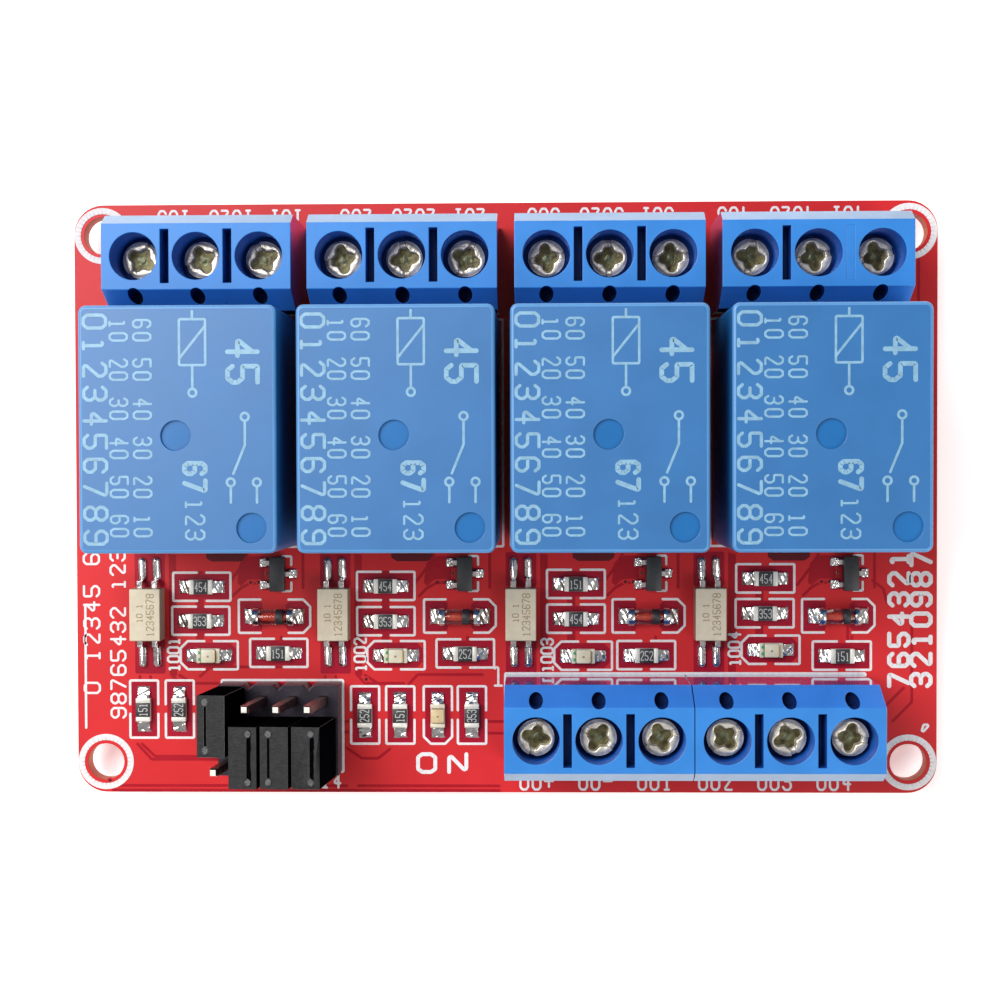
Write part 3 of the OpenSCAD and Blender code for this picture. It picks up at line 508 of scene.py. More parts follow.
def copied(name, template, spots, material, slot=None, *replaced):
    """Copies a template mesh, made in mm at the origin, to spots of (x, y, z, turn, scale)."""
    for vert in template.vertices:
        vert.co *= MM
    source = plain_object(name + "_template", template)
    mesh = bpy.data.meshes.new(name)
    mesh.from_pydata([(x * MM, y * MM, z * MM) for x, y, z, _, _ in spots], [], [])
    turns = mesh.attributes.new("turn", "FLOAT_VECTOR", "POINT")
    sizes = mesh.attributes.new("stretch", "FLOAT_VECTOR", "POINT")
    for k, (_, _, _, turn_z, size) in enumerate(spots):
        turns.data[k].vector = (0, 0, math.radians(turn_z))
        sizes.data[k].vector = size if isinstance(size, tuple) else (size, size, size)
    obj = grown(name, mesh, copy_tree, {"Part": source, "Finish": material}, slot, *replaced)
    bpy.data.objects.remove(source)
    return obj


# %% [markdown]
# ## A stroke alphabet
# Board print is drawn with one pen, so its digits are polylines and not a typeface. Only plain
# numbers, signs and ON are needed here. Each pair of digits is a point: its column, 0 to 4, and
# its row, 0 to 6.

# %% Stroke digits
STROKES = {
    "0": ["10 30 41 45 36 16 05 01 10"], "O": ["10 30 41 45 36 16 05 01 10"],
    "1": ["15 26 20", "10 30"], "2": ["05 16 36 45 44 00 40"],
    "3": ["05 16 36 45 44 33 42 41 30 10 01", "33 13"], "4": ["30 36", "35 02 42"],
    "5": ["46 06 03 33 42 41 30 10 01"], "6": ["45 36 16 05 01 10 30 41 42 33 03"],
    "7": ["06 46 10"], "8": ["13 04 05 16 36 45 44 33 13", "13 02 01 10 30 41 42 33"],
    "9": ["01 10 30 41 45 36 16 05 04 13 43"], "+": ["03 43", "21 25"], "-": ["03 43"],
    "N": ["00 06 40 46"], " ": [],
}


def written(text, at, height, turn=0, advance=1.0, squeeze=1.0):
    """Polylines of a text centred on a place, in mm; turn is in degrees."""
    c, s = math.cos(math.radians(turn)), math.sin(math.radians(turn))
    paths = []
    for k, letter in enumerate(text):
        x0 = (k - (len(text) - 1) / 2) * height * advance * squeeze
        for stroke in STROKES[letter]:
            line = []
            for column, row in stroke.split():
                x = x0 + (int(column) - 2) * height / 6 * squeeze
                y = (int(row) - 3) * height / 6
                line.append((at[0] + c * x - s * y, at[1] + s * x + c * y))
            paths.append(line)
    return paths


print("letters:", len(STROKES))

# %% [markdown]
# ## White print on the board
# The print outlines most parts, so an assembler sees where they go. A box has a gap in the middle
# of its long sides, and a cut corner tells which way a diode or a lamp must face.


# %% Print shapes
def part_box(x, y, length, width, gap=0.82, cut=0.0, turn=0):
    """Two facing brackets round a part; cut chamfers the corners of the bracket at +x."""
    a, b, g = length / 2, width / 2, gap / 2
    left = [(-g, b), (-a, b), (-a, -b), (-g, -b)]
    right = [(g, b), (a - cut, b), (a, b - cut), (a, cut - b), (a - cut, -b), (g, -b)]
    if not cut:
        right = [(g, b), (a, b), (a, -b), (g, -b)]
    c, s = round(math.cos(math.radians(turn))), round(math.sin(math.radians(turn)))
    return [[(x + c * p - s * q, y + s * p + c * q) for p, q in side] for side in (left, right)]


def angles(count, shift=0.0):
    return [2 * math.pi * (k + shift) / count for k in range(count)]


def ring(x, y, radius, count=36):
    points = [(x + radius * math.cos(a), y + radius * math.sin(a)) for a in angles(count)]
    return [points + points[:1]]


def groups(node):
    """Boxes, in mm, of the separate solids in a node, from left to right."""
    bm = merged(node)
    seen, found = set(), []
    for seed in bm.verts:
        if seed in seen:
            continue
        stack, low, high = [seed], Vector((1e9,) * 3), Vector((-1e9,) * 3)
        seen.add(seed)
        while stack:
            vert = stack.pop()
            low, high = Vector(map(min, low, vert.co)), Vector(map(max, high, vert.co))
            for edge in vert.link_edges:
                other = edge.other_vert(vert)
                if other not in seen:
                    seen.add(other)
                    stack.append(other)
        found.append((low / MM, high / MM))
    bm.free()
    return sorted(found, key=lambda box: (round(box[0].x, 2), box[0].y))


def centres(node):
    return [((low + high) / 2, high - low) for low, high in groups(node)]


chips = centres("chip_resistors")
lamps = centres("channel_lamps")
power = centres("power_lamp")[0]
optos = centres("photocouplers")
transistors = centres("transistors")
diodes = centres("diode_glass")
print("chips", len(chips), "lamps", len(lamps), "optos", len(optos), "diodes", len(diodes))

# %% Flat patches
def patches(name, polygons, z, material):
    """Thin flat areas of another colour, from lists of corners in mm."""
    bm = bmesh.new()
    for corners in polygons:
        face = bm.faces.new([bm.verts.new((x * MM, y * MM, z * MM)) for x, y in corners])
        face.normal_update()
        if face.normal.z < 0:
            face.normal_flip()
    return belongs(as_object(name, bm, material), "board", None)


def oblong(x, y, length, width, turn=0, cut=0.12):
    """An oblong with cut corners."""
    a, b = (length / 2, width / 2) if turn == 0 else (width / 2, length / 2)
    c, d = a - cut, b - cut
    return [(x - c, y - b), (x + c, y - b), (x + a, y - d), (x + a, y + d),
            (x + c, y + b), (x - c, y + b), (x - a, y + d), (x - a, y - d)]


# %% [markdown]
# ## Copper seen through the mask
# Solder mask over copper looks bright, and over bare laminate dark. Round each pad and along each
# trace the copper stops, so there is a dark margin. Wide margins are flat patches a few hundredths
# of a millimetre above the board, and the narrow ones are lines drawn with the same tree as print.

# %% Dark margins
header_low, header_high = box_mm("header_body")
hx, hy = (header_low.x + header_high.x) / 2, (header_low.y + header_high.y) / 2
margins_and_shade = []
for at, size in chips + [power]:
    upright = size.x < size.y or at is power[0]
    margins_and_shade.append(oblong(at.x, at.y, 4.62, 2.12, 90 if upright else 0))
for at, _ in lamps:
    margins_and_shade.append(oblong(at.x, at.y, 4.55, 2.12, 0, 0.5))
for at, _ in diodes:
    margins_and_shade += [oblong(at.x - 2.0, at.y, 1.9, 2.5), oblong(at.x + 1.95, at.y, 2.0, 2.5, 0, 0.3)]
for at, _ in optos:
    margins_and_shade += [oblong(at.x, at.y + side * 3.72, 2.6, 2.9) for side in (-1, 1)]
for at, _ in transistors:
    margins_and_shade += [oblong(at.x - 1.15, at.y + dy, 0.9, 0.95) for dy in (0.95, -0.95)]
    margins_and_shade.append(oblong(at.x + 1.15, at.y, 0.95, 0.95))
# The patch inside the header's outline is painted shade, not a copper margin.
margins_and_shade.append(oblong(hx, hy, 10.0, 7.4))
SHADE_HIGH, MARGIN_HIGH, BROWN_HIGH = TOP + 0.002, TOP + 0.004, TOP + 0.006
patches("pad_margins", margins_and_shade, MARGIN_HIGH, mask_dark)

dim, brown = [], []
for at, _ in transistors:
    x, y = at.x, at.y
    dim.append([(x - 3.3, y + 0.9), (x - 2.4, y + 1.5), (x - 1.2, y + 1.5), (x - 1.2, y - 0.45),
                (x - 2.6, y - 0.5), (x - 3.2, y - 1.05), (x - 3.5, y - 0.8), (x - 3.4, y + 0.2)])
for at, _ in optos:
    dim.append(oblong(at.x + 2.0, at.y - 0.2, 0.55, 10.4, 0, 0.1))
    dim.append(oblong(at.x + 4.25, at.y - 0.2, 0.7, 7.6, 0, 0.1))
# Just past the low-y edge of each relay lies a dark brown patch, moved sideways by a different
# amount for each relay.
for i in range(1, 5):
    low, high = box_mm(f"relay_case_{i}")
    x, y = (low.x + high.x) / 2 + (1.0, 0.1, -0.85, -1.2)[i - 1], low.y
    brown.append([(x - 1.9, y + 0.6), (x - 1.75, y - 1.15), (x - 1.3, y - 1.45),
                  (x + 1.3, y - 1.45), (x + 1.75, y - 1.15), (x + 1.9, y + 0.6)])
patches("bare_laminate", dim, SHADE_HIGH, mask_shade)
patches("brown_windows", brown, BROWN_HIGH, mask_brown)
print("margins:", len(margins_and_shade), "bare areas:", len(dim), "windows:", len(brown))

# %% Traces and vias
traces, vias = [], []
for at, _ in optos:
    x, y = at.x, at.y
    traces += [[(x + 1.75, y + 5.0), (x + 1.75, y - 5.2), (x + 2.5, y - 6.0), (x + 5.8, y - 6.0)],
               [(x - 0.9, y - 5.4), (x - 0.9, y - 6.6)], [(x + 0.0, y - 5.4), (x + 0.0, y - 6.6)],
               [(x + 2.5, y - 5.3), (x + 3.6, y - 6.0)]]
for at, _ in transistors:
    x, y = at.x, at.y
    traces += [[(x - 3.9, y - 1.9), (x - 3.2, y - 1.2), (x - 2.4, y - 0.8), (x - 1.8, y - 0.8)],
               [(x - 4.4, y - 1.0), (x - 3.4, y + 0.3), (x - 2.6, y + 1.6)],
               [(x + 2.1, y + 2.2), (x + 2.1, y - 1.2)], [(x + 0.2, y - 5.4), (x + 0.2, y - 6.6)]]
    vias += [(x - 2.36, y - 0.73), (x - 1.68, y - 0.73)]
traces += [[(-31.4, -20.9), (-30.2, -22.2), (-24.2, -22.2)],
           [(-31.0, -20.9), (-29.9, -21.95), (-24.2, -21.95)],
           [(-33.9, -24.45), (-13.5, -24.45)], [(-33.5, -24.85), (-0.5, -24.85)],
           [(-12.5, -24.45), (-0.5, -24.45)], [(-26.0, -15.1), (-25.1, -14.3), (-17.2, -14.3)],
           [(-13.5, -21.2), (-12.2, -22.1), (-10.8, -22.1), (-9.8, -21.3)],
           [(-13.8, -18.95), (-13.2, -18.95)], [(-13.8, -19.85), (-13.2, -19.85)],
           [(-1.4, -18.95), (0.0, -18.95)], [(-1.4, -19.95), (0.0, -19.95)],
           [(-8.2, -15.8), (-7.4, -14.95), (-1.9, -14.95)],
           [(34.4, -10.2), (34.4, -17.3), (32.8, -18.9)],
           [(33.7, -16.1), (32.3, -17.5)], [(31.1, -7.0), (32.0, -7.7), (32.3, -8.9)],
           [(29.0, -10.8), (29.0, -12.0)], [(-32.6, 21.5), (-31.9, 20.7), (-31.9, 16.6)],
           [(34.9, 20.0), (34.9, 16.0), (33.9, 15.0)]]
ROOT = TOP - 0.01                           # lines start this low, inside the board
drawn("trace_gaps", traces, 0.24, ROOT, TOP + 0.010, mask_shade, 0.3)
vias += [(-11.8, -15.35), (-33.8, -24.0), (35.4, -4.3)]
drawn("via_rings", [loop for x, y in vias for loop in ring(x, y, 0.2, 14)], 0.1, ROOT,
      TOP + 0.012, mask_red, 0.01)
patches("via_holes", [ring(x, y, 0.14, 14)[0][:-1] for x, y in vias], TOP + 0.013, mask_brown)
print("trace lines:", len(traces), "vias:", len(vias))

# %% Board print
def printed(name, paths, width, corner=0.1):
    drawn(name, paths, width, TOP - 0.002, TOP + 0.034, print_white, corner)


def frame_line(x0, y0, x1, y1):
    return [(x0, y0), (x1, y0), (x1, y1), (x0, y1), (x0, y0)]


lines = []
for at, size in chips:
    lines += part_box(at.x, at.y, 4.9, 2.41, turn=0 if size.x > size.y else 90)
for at, _ in lamps:
    lines += part_box(at.x, at.y, 4.9, 2.41, cut=0.6, turn=180)
lines += part_box(power[0].x, power[0].y, 4.9, 2.41, cut=0.6, turn=-90)
for at, _ in diodes:
    lines += part_box(at.x, at.y, 6.1, 2.84, gap=2.4, cut=0.6)
for at, _ in transistors:
    for s in (-1, 1):
        lines.append([(at.x + 0.35, at.y + s * 1.485), (at.x + 1.1, at.y + s * 1.485),
                      (at.x + 1.1, at.y + s * 0.75)])
    lines.append([(at.x - 1.02, at.y), (at.x - 1.0, at.y)])
lines.append(frame_line(hx - 5.18, hy + 3.93, hx + 5.18, hy - 3.9))
for dy in (1.25, -1.25):
    lines.append([(hx + 5.18, hy + dy), (hx + 4.48, hy + dy)])
for i in range(1, 5):
    low, high = box_mm(f"relay_case_{i}")
    lines.append(frame_line(low.x - 0.25, low.y - 0.2, high.x + 0.25, high.y))
low, high = box_mm("terminal_housing_5")[0], box_mm("terminal_housing_6")[1]
lines.append(frame_line(low.x - 0.1, low.y - 0.1, high.x + 0.1, high.y + 0.1))
lines.append([(-35.8, -9.0), (-35.8, -19.5)])
lines.append([(35.1, -20.1), (35.9, -19.2), (35.4, -19.2), (35.1, -20.1)])
print("print lines:", len(lines))
printed("board_print", lines, 0.2)

# %% Mounting hole rings
hole_x, hole_y = 34.1, 22.4
rings = [loop for sx in (-1, 1) for sy in (-1, 1) for loop in ring(sx * hole_x, sy * hole_y, 2.11)]
printed("hole_rings", rings, 0.52, 0.01)
print("hole rings:", len(rings))

# %% Board numbers
PIN_PITCH = 2.54
labels, bold, heavy = [], [], []
for i, shift in zip(range(1, 5), (1.1, 0.3, -0.3, -0.7)):
    low, high = box_mm(f"terminal_housing_{i}")
    for k, at in enumerate((4.7, 0, -4.9)):
        text = f"{i}0{k + 1}" + "0" * (k == 1)
        labels += written(text, ((low.x + high.x) / 2 + shift + at, 23.72), 1.5, 180, 1.04, 0.62)
for i, texts in ((5, ("00+", "00-", "001")), (6, ("002", "003", "004"))):
    low, high = box_mm(f"terminal_housing_{i}")
    for k, text in enumerate(texts):
        labels += written(text, ((low.x + high.x) / 2 + 5 * (k - 1), -24.02), 1.45, 0, 1.06, 0.68)
for k, (at, _) in enumerate(sorted(lamps, key=lambda lamp: lamp[0].x)):
    labels += written(str(1001 + k), (at.x - 3.05, at.y + 0.05), 0.98, 90, 0.98, 0.78)
for k in range(4):
    labels += written(f"1{k + 1}", (hx + 4.1 - PIN_PITCH * (3 - k), -24.05), 1.1, 0, 1.05, 0.85)
labels += written("1", (-0.55, -15.02), 1.75)
labels += written("0 12345 678", (-35.25, -9.2), 1.3, 90, 1.06, 1.0)
labels += written("98765432 1234", (-33.0, -10.9), 1.22, 90, 1.0, 1.0)
for row, x in (("7654321", 33.3), ("3210987", 35.15)):
    heavy += written(row, (x, -10.3), 1.62, 90, 1.12, 0.94)
bold += written("ON", (power[0].x + 0.35, -22.5), 1.52, 0, 1.2, 1.45)
printed("board_numbers", labels, 0.19, 0.12)
printed("board_columns", heavy, 0.36, 0.12)
printed("board_words", bold, 0.33, 0.15)
print("strokes:", len(labels) + len(heavy) + len(bold))

# %% [markdown]
# ## A slit that never opened
# On one block the last slit is only a moulded outline, as if the mould's blade had worn. A web of
# the same plastic fills that slit to just under the top face.

# %% Web in one slit
def box_mesh(low, high):
    bm = bmesh.new()
    bmesh.ops.create_cube(bm, size=1)
    size = [(b - a) * MM for a, b in zip(low, high)]
    mid = [(a + b) / 2 * MM for a, b in zip(low, high)]
    for vert in bm.verts:
        vert.co = Vector([mid[k] + vert.co[k] * size[k] for k in range(3)])
    return bm


low, high = box_mm("terminal_housing_4")
middle_screw = centres("terminal_screws_4")[1][0]
web = box_mesh((middle_screw.x + 2.14, middle_screw.y - 2.15, high.z - 2.4),
               (middle_screw.x + 2.86, middle_screw.y + 2.15, high.z - 0.015))
bmesh.ops.bevel(web, geom=web.edges[:], offset=0.07 * MM, segments=2, profile=0.5, affect="EDGES")
belongs(settled(as_object("slit_web", web, terminal_blue), True), "board", "terminal_blue")
print("web beside the screw at", round(middle_screw.x, 2))

# %% [markdown]
# ## Relay cases
# A relay case is a thin moulded cap, open below, with round edges and two shallow dimples left by
# the mould's ejector pins. Bevelling a box gives the round corners, a second box makes it hollow,
# and two discs are subtracted for the dimples.


# %% Relay case shell
def walled(bm, loops, down=False):
    """Faces between rings of points; down is for rings listed from the top."""
    for lower, upper in zip(loops, loops[1:]):
        if down:
            lower, upper = upper, lower
        for k in range(len(lower)):
            n = (k + 1) % len(lower)
            bm.faces.new((lower[k], lower[n], upper[n], upper[k]))


def disc(x, y, z, radius, deep):
    """A shallow round cutter with a soft lower edge."""
    bm = bmesh.new()
    rows = [(radius - 0.03, -deep), (radius, 0.04 - deep), (radius, -0.02), (radius + 0.03, 0.0),
            (radius + 0.03, 0.5)]
    loops = [[bm.verts.new(((x + r * math.cos(a)) * MM, (y + r * math.sin(a)) * MM, (z + h) * MM))
              for a in angles(48)] for r, h in rows]
    walled(bm, loops)
    bm.faces.new(list(reversed(loops[0])))
    bm.faces.new(loops[-1])
    return bm


SKIN = 0.008                                # room for the print above the case, in mm
WALL, ROOF = 0.8, 0.9                       # thickness of the case, in mm
DIMPLE = (1.17, 0.25)                       # radius and depth, in mm
case_tops = {}
for i in range(1, 5):
    low, high = box_mm(f"relay_case_{i}")
    high.z -= SKIN
    bm = box_mesh(low, high)
    edges = [e for e in bm.edges if any(v.co.z > (low.z + 1) * MM for v in e.verts)]
    upright = [e for e in edges if abs(e.verts[0].co.z - e.verts[1].co.z) > 1 * MM]
    bmesh.ops.bevel(bm, geom=upright, offset=0.6 * MM, segments=5, profile=0.5, affect="EDGES")
    # The top rim's bevel takes the second finish, a lighter blue: a painted highlight along the
    # edge.
    rim = [e for e in bm.edges if all(v.co.z > (high.z - 0.01) * MM for v in e.verts)]
    bmesh.ops.bevel(bm, geom=rim, offset=0.28 * MM, segments=3, profile=0.5, affect="EDGES",
                    material=1)
    case = as_object(f"relay_cap_{i}", bm, relay_blue, relay_edge, relay_dimple)
    x, y = (low.x + high.x) / 2, (low.y + high.y) / 2
    cutters = [as_object("cutter", bm) for bm in (
        disc(x - 0.12, y - 0.48, high.z, *DIMPLE),
        disc(high.x - 1.93, low.y + 1.95, high.z, *DIMPLE),
        box_mesh((low.x + WALL, low.y + WALL, low.z - 1),
                 (high.x - WALL, high.y - WALL, high.z - ROOF)))]
    for cutter in cutters:
        cut = case.modifiers.new("cut", "BOOLEAN")
        cut.object, cut.operation, cut.solver = cutter, "DIFFERENCE", "EXACT"
    settled(case, True)
    for cutter in cutters:
        bpy.data.objects.remove(cutter)
    for face in case.data.polygons:
        if face.normal.z > 0.9 and 0.1 < high.z - face.center.z / MM < 0.4:
            face.material_index = 2
    belongs(case, "board", "relay_blue", f"relay_case_{i}")
    case_tops[i] = (x, y, high.z)
print("relay cap faces:", len(case.data.polygons))

# %% [markdown]
# ## Print on the relays
# Relay tops carry print. Here there are rows of plain counting figures and two generic signs: a
# coil with its two ends, and a changeover contact between two fixed ones.


# %% Relay print
def relay_marks(x, y):
    big = written("0 1 2 3 4 5 6 7 8 9", (x - 6.28, y), 1.72, -90, 0.62, 0.86)
    small = []
    for row, text in ((-4.46, "10 20 30 40 50 60"), (-2.65, "60 50 40 30 20 10")):
        small += written(text, (x + row, y + 0.1), 1.32, -90, 1.18, 0.64)
    coil = [frame_line(x + 0.2, y + 8.4, x + 2.2, y + 4.9),
            [(x + 0.2, y + 5.4), (x + 2.2, y + 7.9)],
            [(x + 1.2, y + 9.0), (x + 1.2, y + 8.4)], [(x + 1.2, y + 4.9), (x + 1.2, y + 3.1)]]
    coil += ring(x + 1.2, y + 2.8, 0.3, 16)
    contact = [[(x + 5.2, y + 0.6), (x + 5.2, y - 1.2), (x + 4.3, y - 3.4)],
               [(x + 4.1, y - 4.4), (x + 4.1, y - 5.6)], [(x + 6.1, y - 4.4), (x + 6.1, y - 5.6)]]
    contact += ring(x + 4.1, y - 4.05, 0.3, 16) + ring(x + 6.1, y - 4.05, 0.3, 16)
    contact += ring(x + 5.2, y + 0.95, 0.3, 16)
    thick = written("45", (x + 5.05, y + 5.2), 2.3, -90, 1.1, 0.8)
    thick += written("67", (x + 1.35, y - 3.65), 1.6, -90, 1.1, 0.75)
    small += written("123", (x + 1.35, y - 6.9), 1.4, -90, 1.1, 0.75)
    return big, small, coil + contact, thick


for i in range(1, 5):
    x, y, z = case_tops[i]
    big, small, diagram, thick = relay_marks(x, y)
    ink = (z - 0.01, z + SKIN, relay_print)
    drawn(f"relay_rows_{i}", big, 0.25, *ink, 0.15)
    drawn(f"relay_figures_{i}", small, 0.17, *ink)
    drawn(f"relay_diagram_{i}", diagram, 0.19, *ink)
    drawn(f"relay_numbers_{i}", thick, 0.36, *ink)
print("strokes on a relay:", len(big + small + diagram + thick))

# %% [markdown]
# ## Screws
# The clamping screws have cheese heads with a cross recess and a slot, so either driver fits. The
# head is a round height field whose rings follow the four-lobed outline of the recess, so the edge
# is crisp. Olive passivation survives in the recess, and the lip round it is rubbed bright.


# %% Screw head
def step(a, b, v):
    t = min(1, max(0, (v - a) / (b - a)))
    return t * t * (3 - 2 * t)


FLOOR, RIM = 12, 25                         # rings where the recess and the head end
HEAD_RADIUS, HEAD_HIGH = 1.47, 1.3          # mm


def head_point(k, a, radius, high):
    """Place of ring k at angle a: the recess floor, its wall, a lip, and a slope to the rim."""
    reach = 0.33 if abs(math.sin(a)) > 0.7 else 0.20        # the slot meets two short lobes
    lobe = radius * (0.46 + reach * (1 - (0.5 - 0.5 * math.cos(4 * a)) ** 1.3))
    if k <= FLOOR:
        r = (lobe - 0.05) * k / FLOOR
        z = high - 0.60 + 0.03 * (1 - step(0.1, 0.3, r)) + 0.12 * (r / radius) ** 2
    else:
        t = (k - FLOOR) / (RIM - FLOOR)
        r = lobe + 0.01 + (radius - lobe - 0.01) * t
        z = high - 0.07 * (1 - step(0, 0.20, t)) - 0.12 * step(0.45, 1, t) ** 1.5
        z -= 0.42 * (1 - step(0.21, 0.26, abs(r * math.sin(a)))) * (math.cos(2 * a) > 0)
    return r * math.cos(a), r * math.sin(a), z


def head_mesh(radius, high, part, sides=96):
    """One finish's share of the head: 0 the lip with the side wall, 1 the recess, 2 its middle."""
    bm = bmesh.new()
    turns = angles(sides)
    verts = {}

    def vert(k, s):
        s = s % sides if k else 0
        if (k, s) not in verts:
            verts[k, s] = bm.verts.new(head_point(k, turns[s], radius, high))
        return verts[k, s]

    for k in range(*((FLOOR, RIM), (5, FLOOR), (0, 5))[part]):
        for s in range(sides):
            quad = [vert(k, s), vert(k + 1, s), vert(k + 1, s + 1), vert(k, s + 1)]
            bm.faces.new(quad if k else quad[:3])
    if part == 0:
        foot = [bm.verts.new((radius * math.cos(a), radius * math.sin(a), 0)) for a in turns]
        for s in range(sides):
            bm.faces.new((foot[s], foot[(s + 1) % sides], vert(RIM, s + 1), vert(RIM, s)))
        bm.faces.new(list(reversed(foot)))
    return mesh_of("screw_head", bm)


screw_nodes = [f"terminal_screws_{i}" for i in range(1, 7)]
picker = random.Random(7)
screw_spots = []
for node in screw_nodes:
    for low, high in groups(node):
        mid = (low + high) / 2
        screw_spots.append((mid.x, mid.y, high.z - HEAD_HIGH, picker.uniform(0, 180), 1))
for k, (name, material) in enumerate((("screw_rims", screw_zinc), ("screw_recesses", screw_brown),
                                      ("screw_middles", screw_olive))):
    heads = copied(name, head_mesh(HEAD_RADIUS, HEAD_HIGH, k), screw_spots, material,
                   "screw_zinc", *(screw_nodes if k == 0 else ()))
print("screws:", len(screw_spots), "faces of the last share:", len(heads.data.polygons))


# %% Screw shanks
def thread_mesh(radius, length, pitch=0.6, sides=28):
    """A turned shank whose radius runs up and down along a helix, like a cut thread."""
    bm = bmesh.new()
    rows = int(length / pitch * 6)
    loops = []
    for k in range(rows + 1):
        z = -length * k / rows
        loop = []
        for s, a in enumerate(angles(sides)):
            wave = abs(((z / pitch + s / sides) % 1) * 2 - 1)
            r = radius - 0.16 * wave * min(1, k / 4)
            loop.append(bm.verts.new((r * math.cos(a), r * math.sin(a), z)))
        loops.append(loop)
    walled(bm, loops, down=True)
    bm.faces.new(list(reversed(loops[-1])))
    return mesh_of("thread", bm)


shank_length = min(s[2] for s in screw_spots) - groups(screw_nodes[0])[0][0].z
copied("screw_shanks", thread_mesh(1.22, shank_length), screw_spots, screw_zinc, "screw_zinc")
print("shank length, mm:", round(shank_length, 2))

# %% [markdown]
# ## Chip parts
# A chip resistor is a slip of white ceramic with a dark glaze on top and tinned ends that wrap
# round it. Solder climbs from the pad to the end cap in a hollow fillet, never the same twice, so
# the fillet is a height field with lumps, copied with a different turn and size to each pad.


# %% Chip templates
def soft_brick(low, high, radius, steps=2):
    bm = bmesh.new()
    bmesh.ops.create_cube(bm, size=1)
    for vert in bm.verts:
        vert.co = Vector([(a + b) / 2 + v * (b - a) for a, b, v in zip(low, high, vert.co)])
    bmesh.ops.bevel(bm, geom=bm.edges[:], offset=radius, segments=steps, profile=0.5,
                    affect="EDGES")
    return mesh_of("brick", bm)


def lumpy(u, v, seed):
    return (math.sin(5.1 * u + seed) * math.cos(4.3 * v + 2 * seed)
            + 0.6 * math.sin(9.7 * u - 3 * seed + 6 * v)) * 0.5


def fillet_mesh(length, width, climb, seed, nu=14, nv=12):
    """Solder on a pad, highest at x = 0 against the part's end and thin at x = length."""
    bm = bmesh.new()
    rows = []
    for a in range(nu + 1):
        u = a / nu
        row = []
        for b in range(nv + 1):
            v = 2 * b / nv - 1
            body = climb * (1 - u) ** 1.5 * (1 - 0.25 * v * v) + 0.16
            edge = step(0, 0.16, 1 - abs(v)) * step(0, 0.12, 1 - u)
            z = (body + 0.085 * lumpy(u * 1.7, 0.75 * v, seed)) * (0.12 + 0.88 * edge)
            w = width / 2 * (1 - 0.10 * u * u - 0.06 * (0.5 + 0.5 * math.sin(3 * seed + 4 * u)))
            row.append(bm.verts.new((length * u * (1 - 0.05 * v * v), v * w, max(0.01, z))))
        rows.append(row)
    low = [[bm.verts.new((vert.co.x, vert.co.y, 0)) for vert in row] for row in rows]
    for a in range(nu):
        for b in range(nv):
            bm.faces.new((rows[a][b], rows[a + 1][b], rows[a + 1][b + 1], rows[a][b + 1]))
    rim = ([(a, 0) for a in range(nu + 1)] + [(nu, b) for b in range(1, nv + 1)]
           + [(a, nv) for a in range(nu - 1, -1, -1)] + [(0, b) for b in range(nv - 1, 0, -1)])
    for (a, b), (c, d) in zip(rim, rim[1:] + rim[:1]):
        bm.faces.new((low[a][b], low[c][d], rows[c][d], rows[a][b]))
    bmesh.ops.delete(bm, geom=[vert for row in low for vert in row if not vert.link_faces],
                     context="VERTS")
    return mesh_of("fillet", bm)


def pill_mesh(length, width, high, rows=8, sides=28):
    """A smooth dome of solder over a whole lead foot."""
    bm = bmesh.new()
    loops = []
    for k in range(rows):
        t = math.pi / 2 * k / rows
        r, loop = width / 2 * math.cos(t), []
        for a in angles(sides, 0.5):
            x = math.copysign((length - width) / 2, math.cos(a)) + r * math.cos(a)
            y = r * math.sin(a) * (1 + 0.08 * math.sin(4 * x)) + 0.03 * math.sin(3 * x + 1)
            z = high * math.sin(t) * (1 + 0.12 * math.sin(5 * x + 2 * y))
            loop.append(bm.verts.new((x, y, z)))
        loops.append(loop)
    walled(bm, loops)
    bm.faces.new(loops[-1])
    return mesh_of("pill", bm)


# %% Chip resistors and lamps
def turn_of(size):
    return 0 if size.x > size.y else 90


pad_z = TOP + 0.06                          # parts stand on a film of solder
chip_spots = [(at.x, at.y, pad_z, turn_of(size), 1) for at, size in chips]
lamp_spots = [(at.x, at.y, pad_z, 0, 1) for at, _ in lamps]
power_spot = [(power[0].x, power[0].y, pad_z, 90, 1)]
copied("chip_ceramics", soft_brick((-0.68, -0.61, 0.0), (0.68, 0.61, 0.5), 0.04), chip_spots,
       ceramic, "chip_black", "chip_resistors")
copied("chip_glazes", soft_brick((-0.60, -0.60, 0.35), (0.60, 0.60, 0.545), 0.03), chip_spots,
       chip_black, "chip_black")
marks = []
for k, (at, size) in enumerate(chips):
    marks += written(("151", "252", "353", "454")[k % 4], (at.x, at.y), 0.74, turn_of(size), 1.02,
                     0.5)
drawn("chip_figures", marks, 0.07, pad_z + 0.535, pad_z + 0.556, chip_print, 0.03)
lamp_all = lamp_spots + power_spot
copied("lamp_bases", soft_brick((-0.66, -0.60, 0.0), (0.66, 0.60, 0.32), 0.03), lamp_all, ceramic,
       "lamp_resin")
lens_shape = (-0.58, -0.58, 0.28), (0.58, 0.58, 0.79), 0.10, 3
copied("channel_lamp_lenses", soft_brick(*lens_shape), lamp_spots, lamp_cream, "lamp_resin",
       "channel_lamps")
copied("power_lamp_lens", soft_brick(*lens_shape), power_spot, lamp_amber, "lamp_resin",
       "power_lamp")
tips, rims = [], []
for x, y, _, _, _ in lamp_spots:
    rims.append((x + 0.57, y, pad_z + 0.70, 0, 1))
    tips += [(x - 0.68, y + 0.28, pad_z + 0.53, 0, 1), (x - 0.68, y - 0.28, pad_z + 0.53, 0, 1)]
copied("lamp_marks", soft_brick((-0.15, -0.13, 0), (0.15, 0.13, 0.025), 0.01), tips, mark_green)
copied("lamp_rims", soft_brick((-0.07, -0.5, 0), (0.07, 0.5, 0.105), 0.02), rims, lamp_amber)
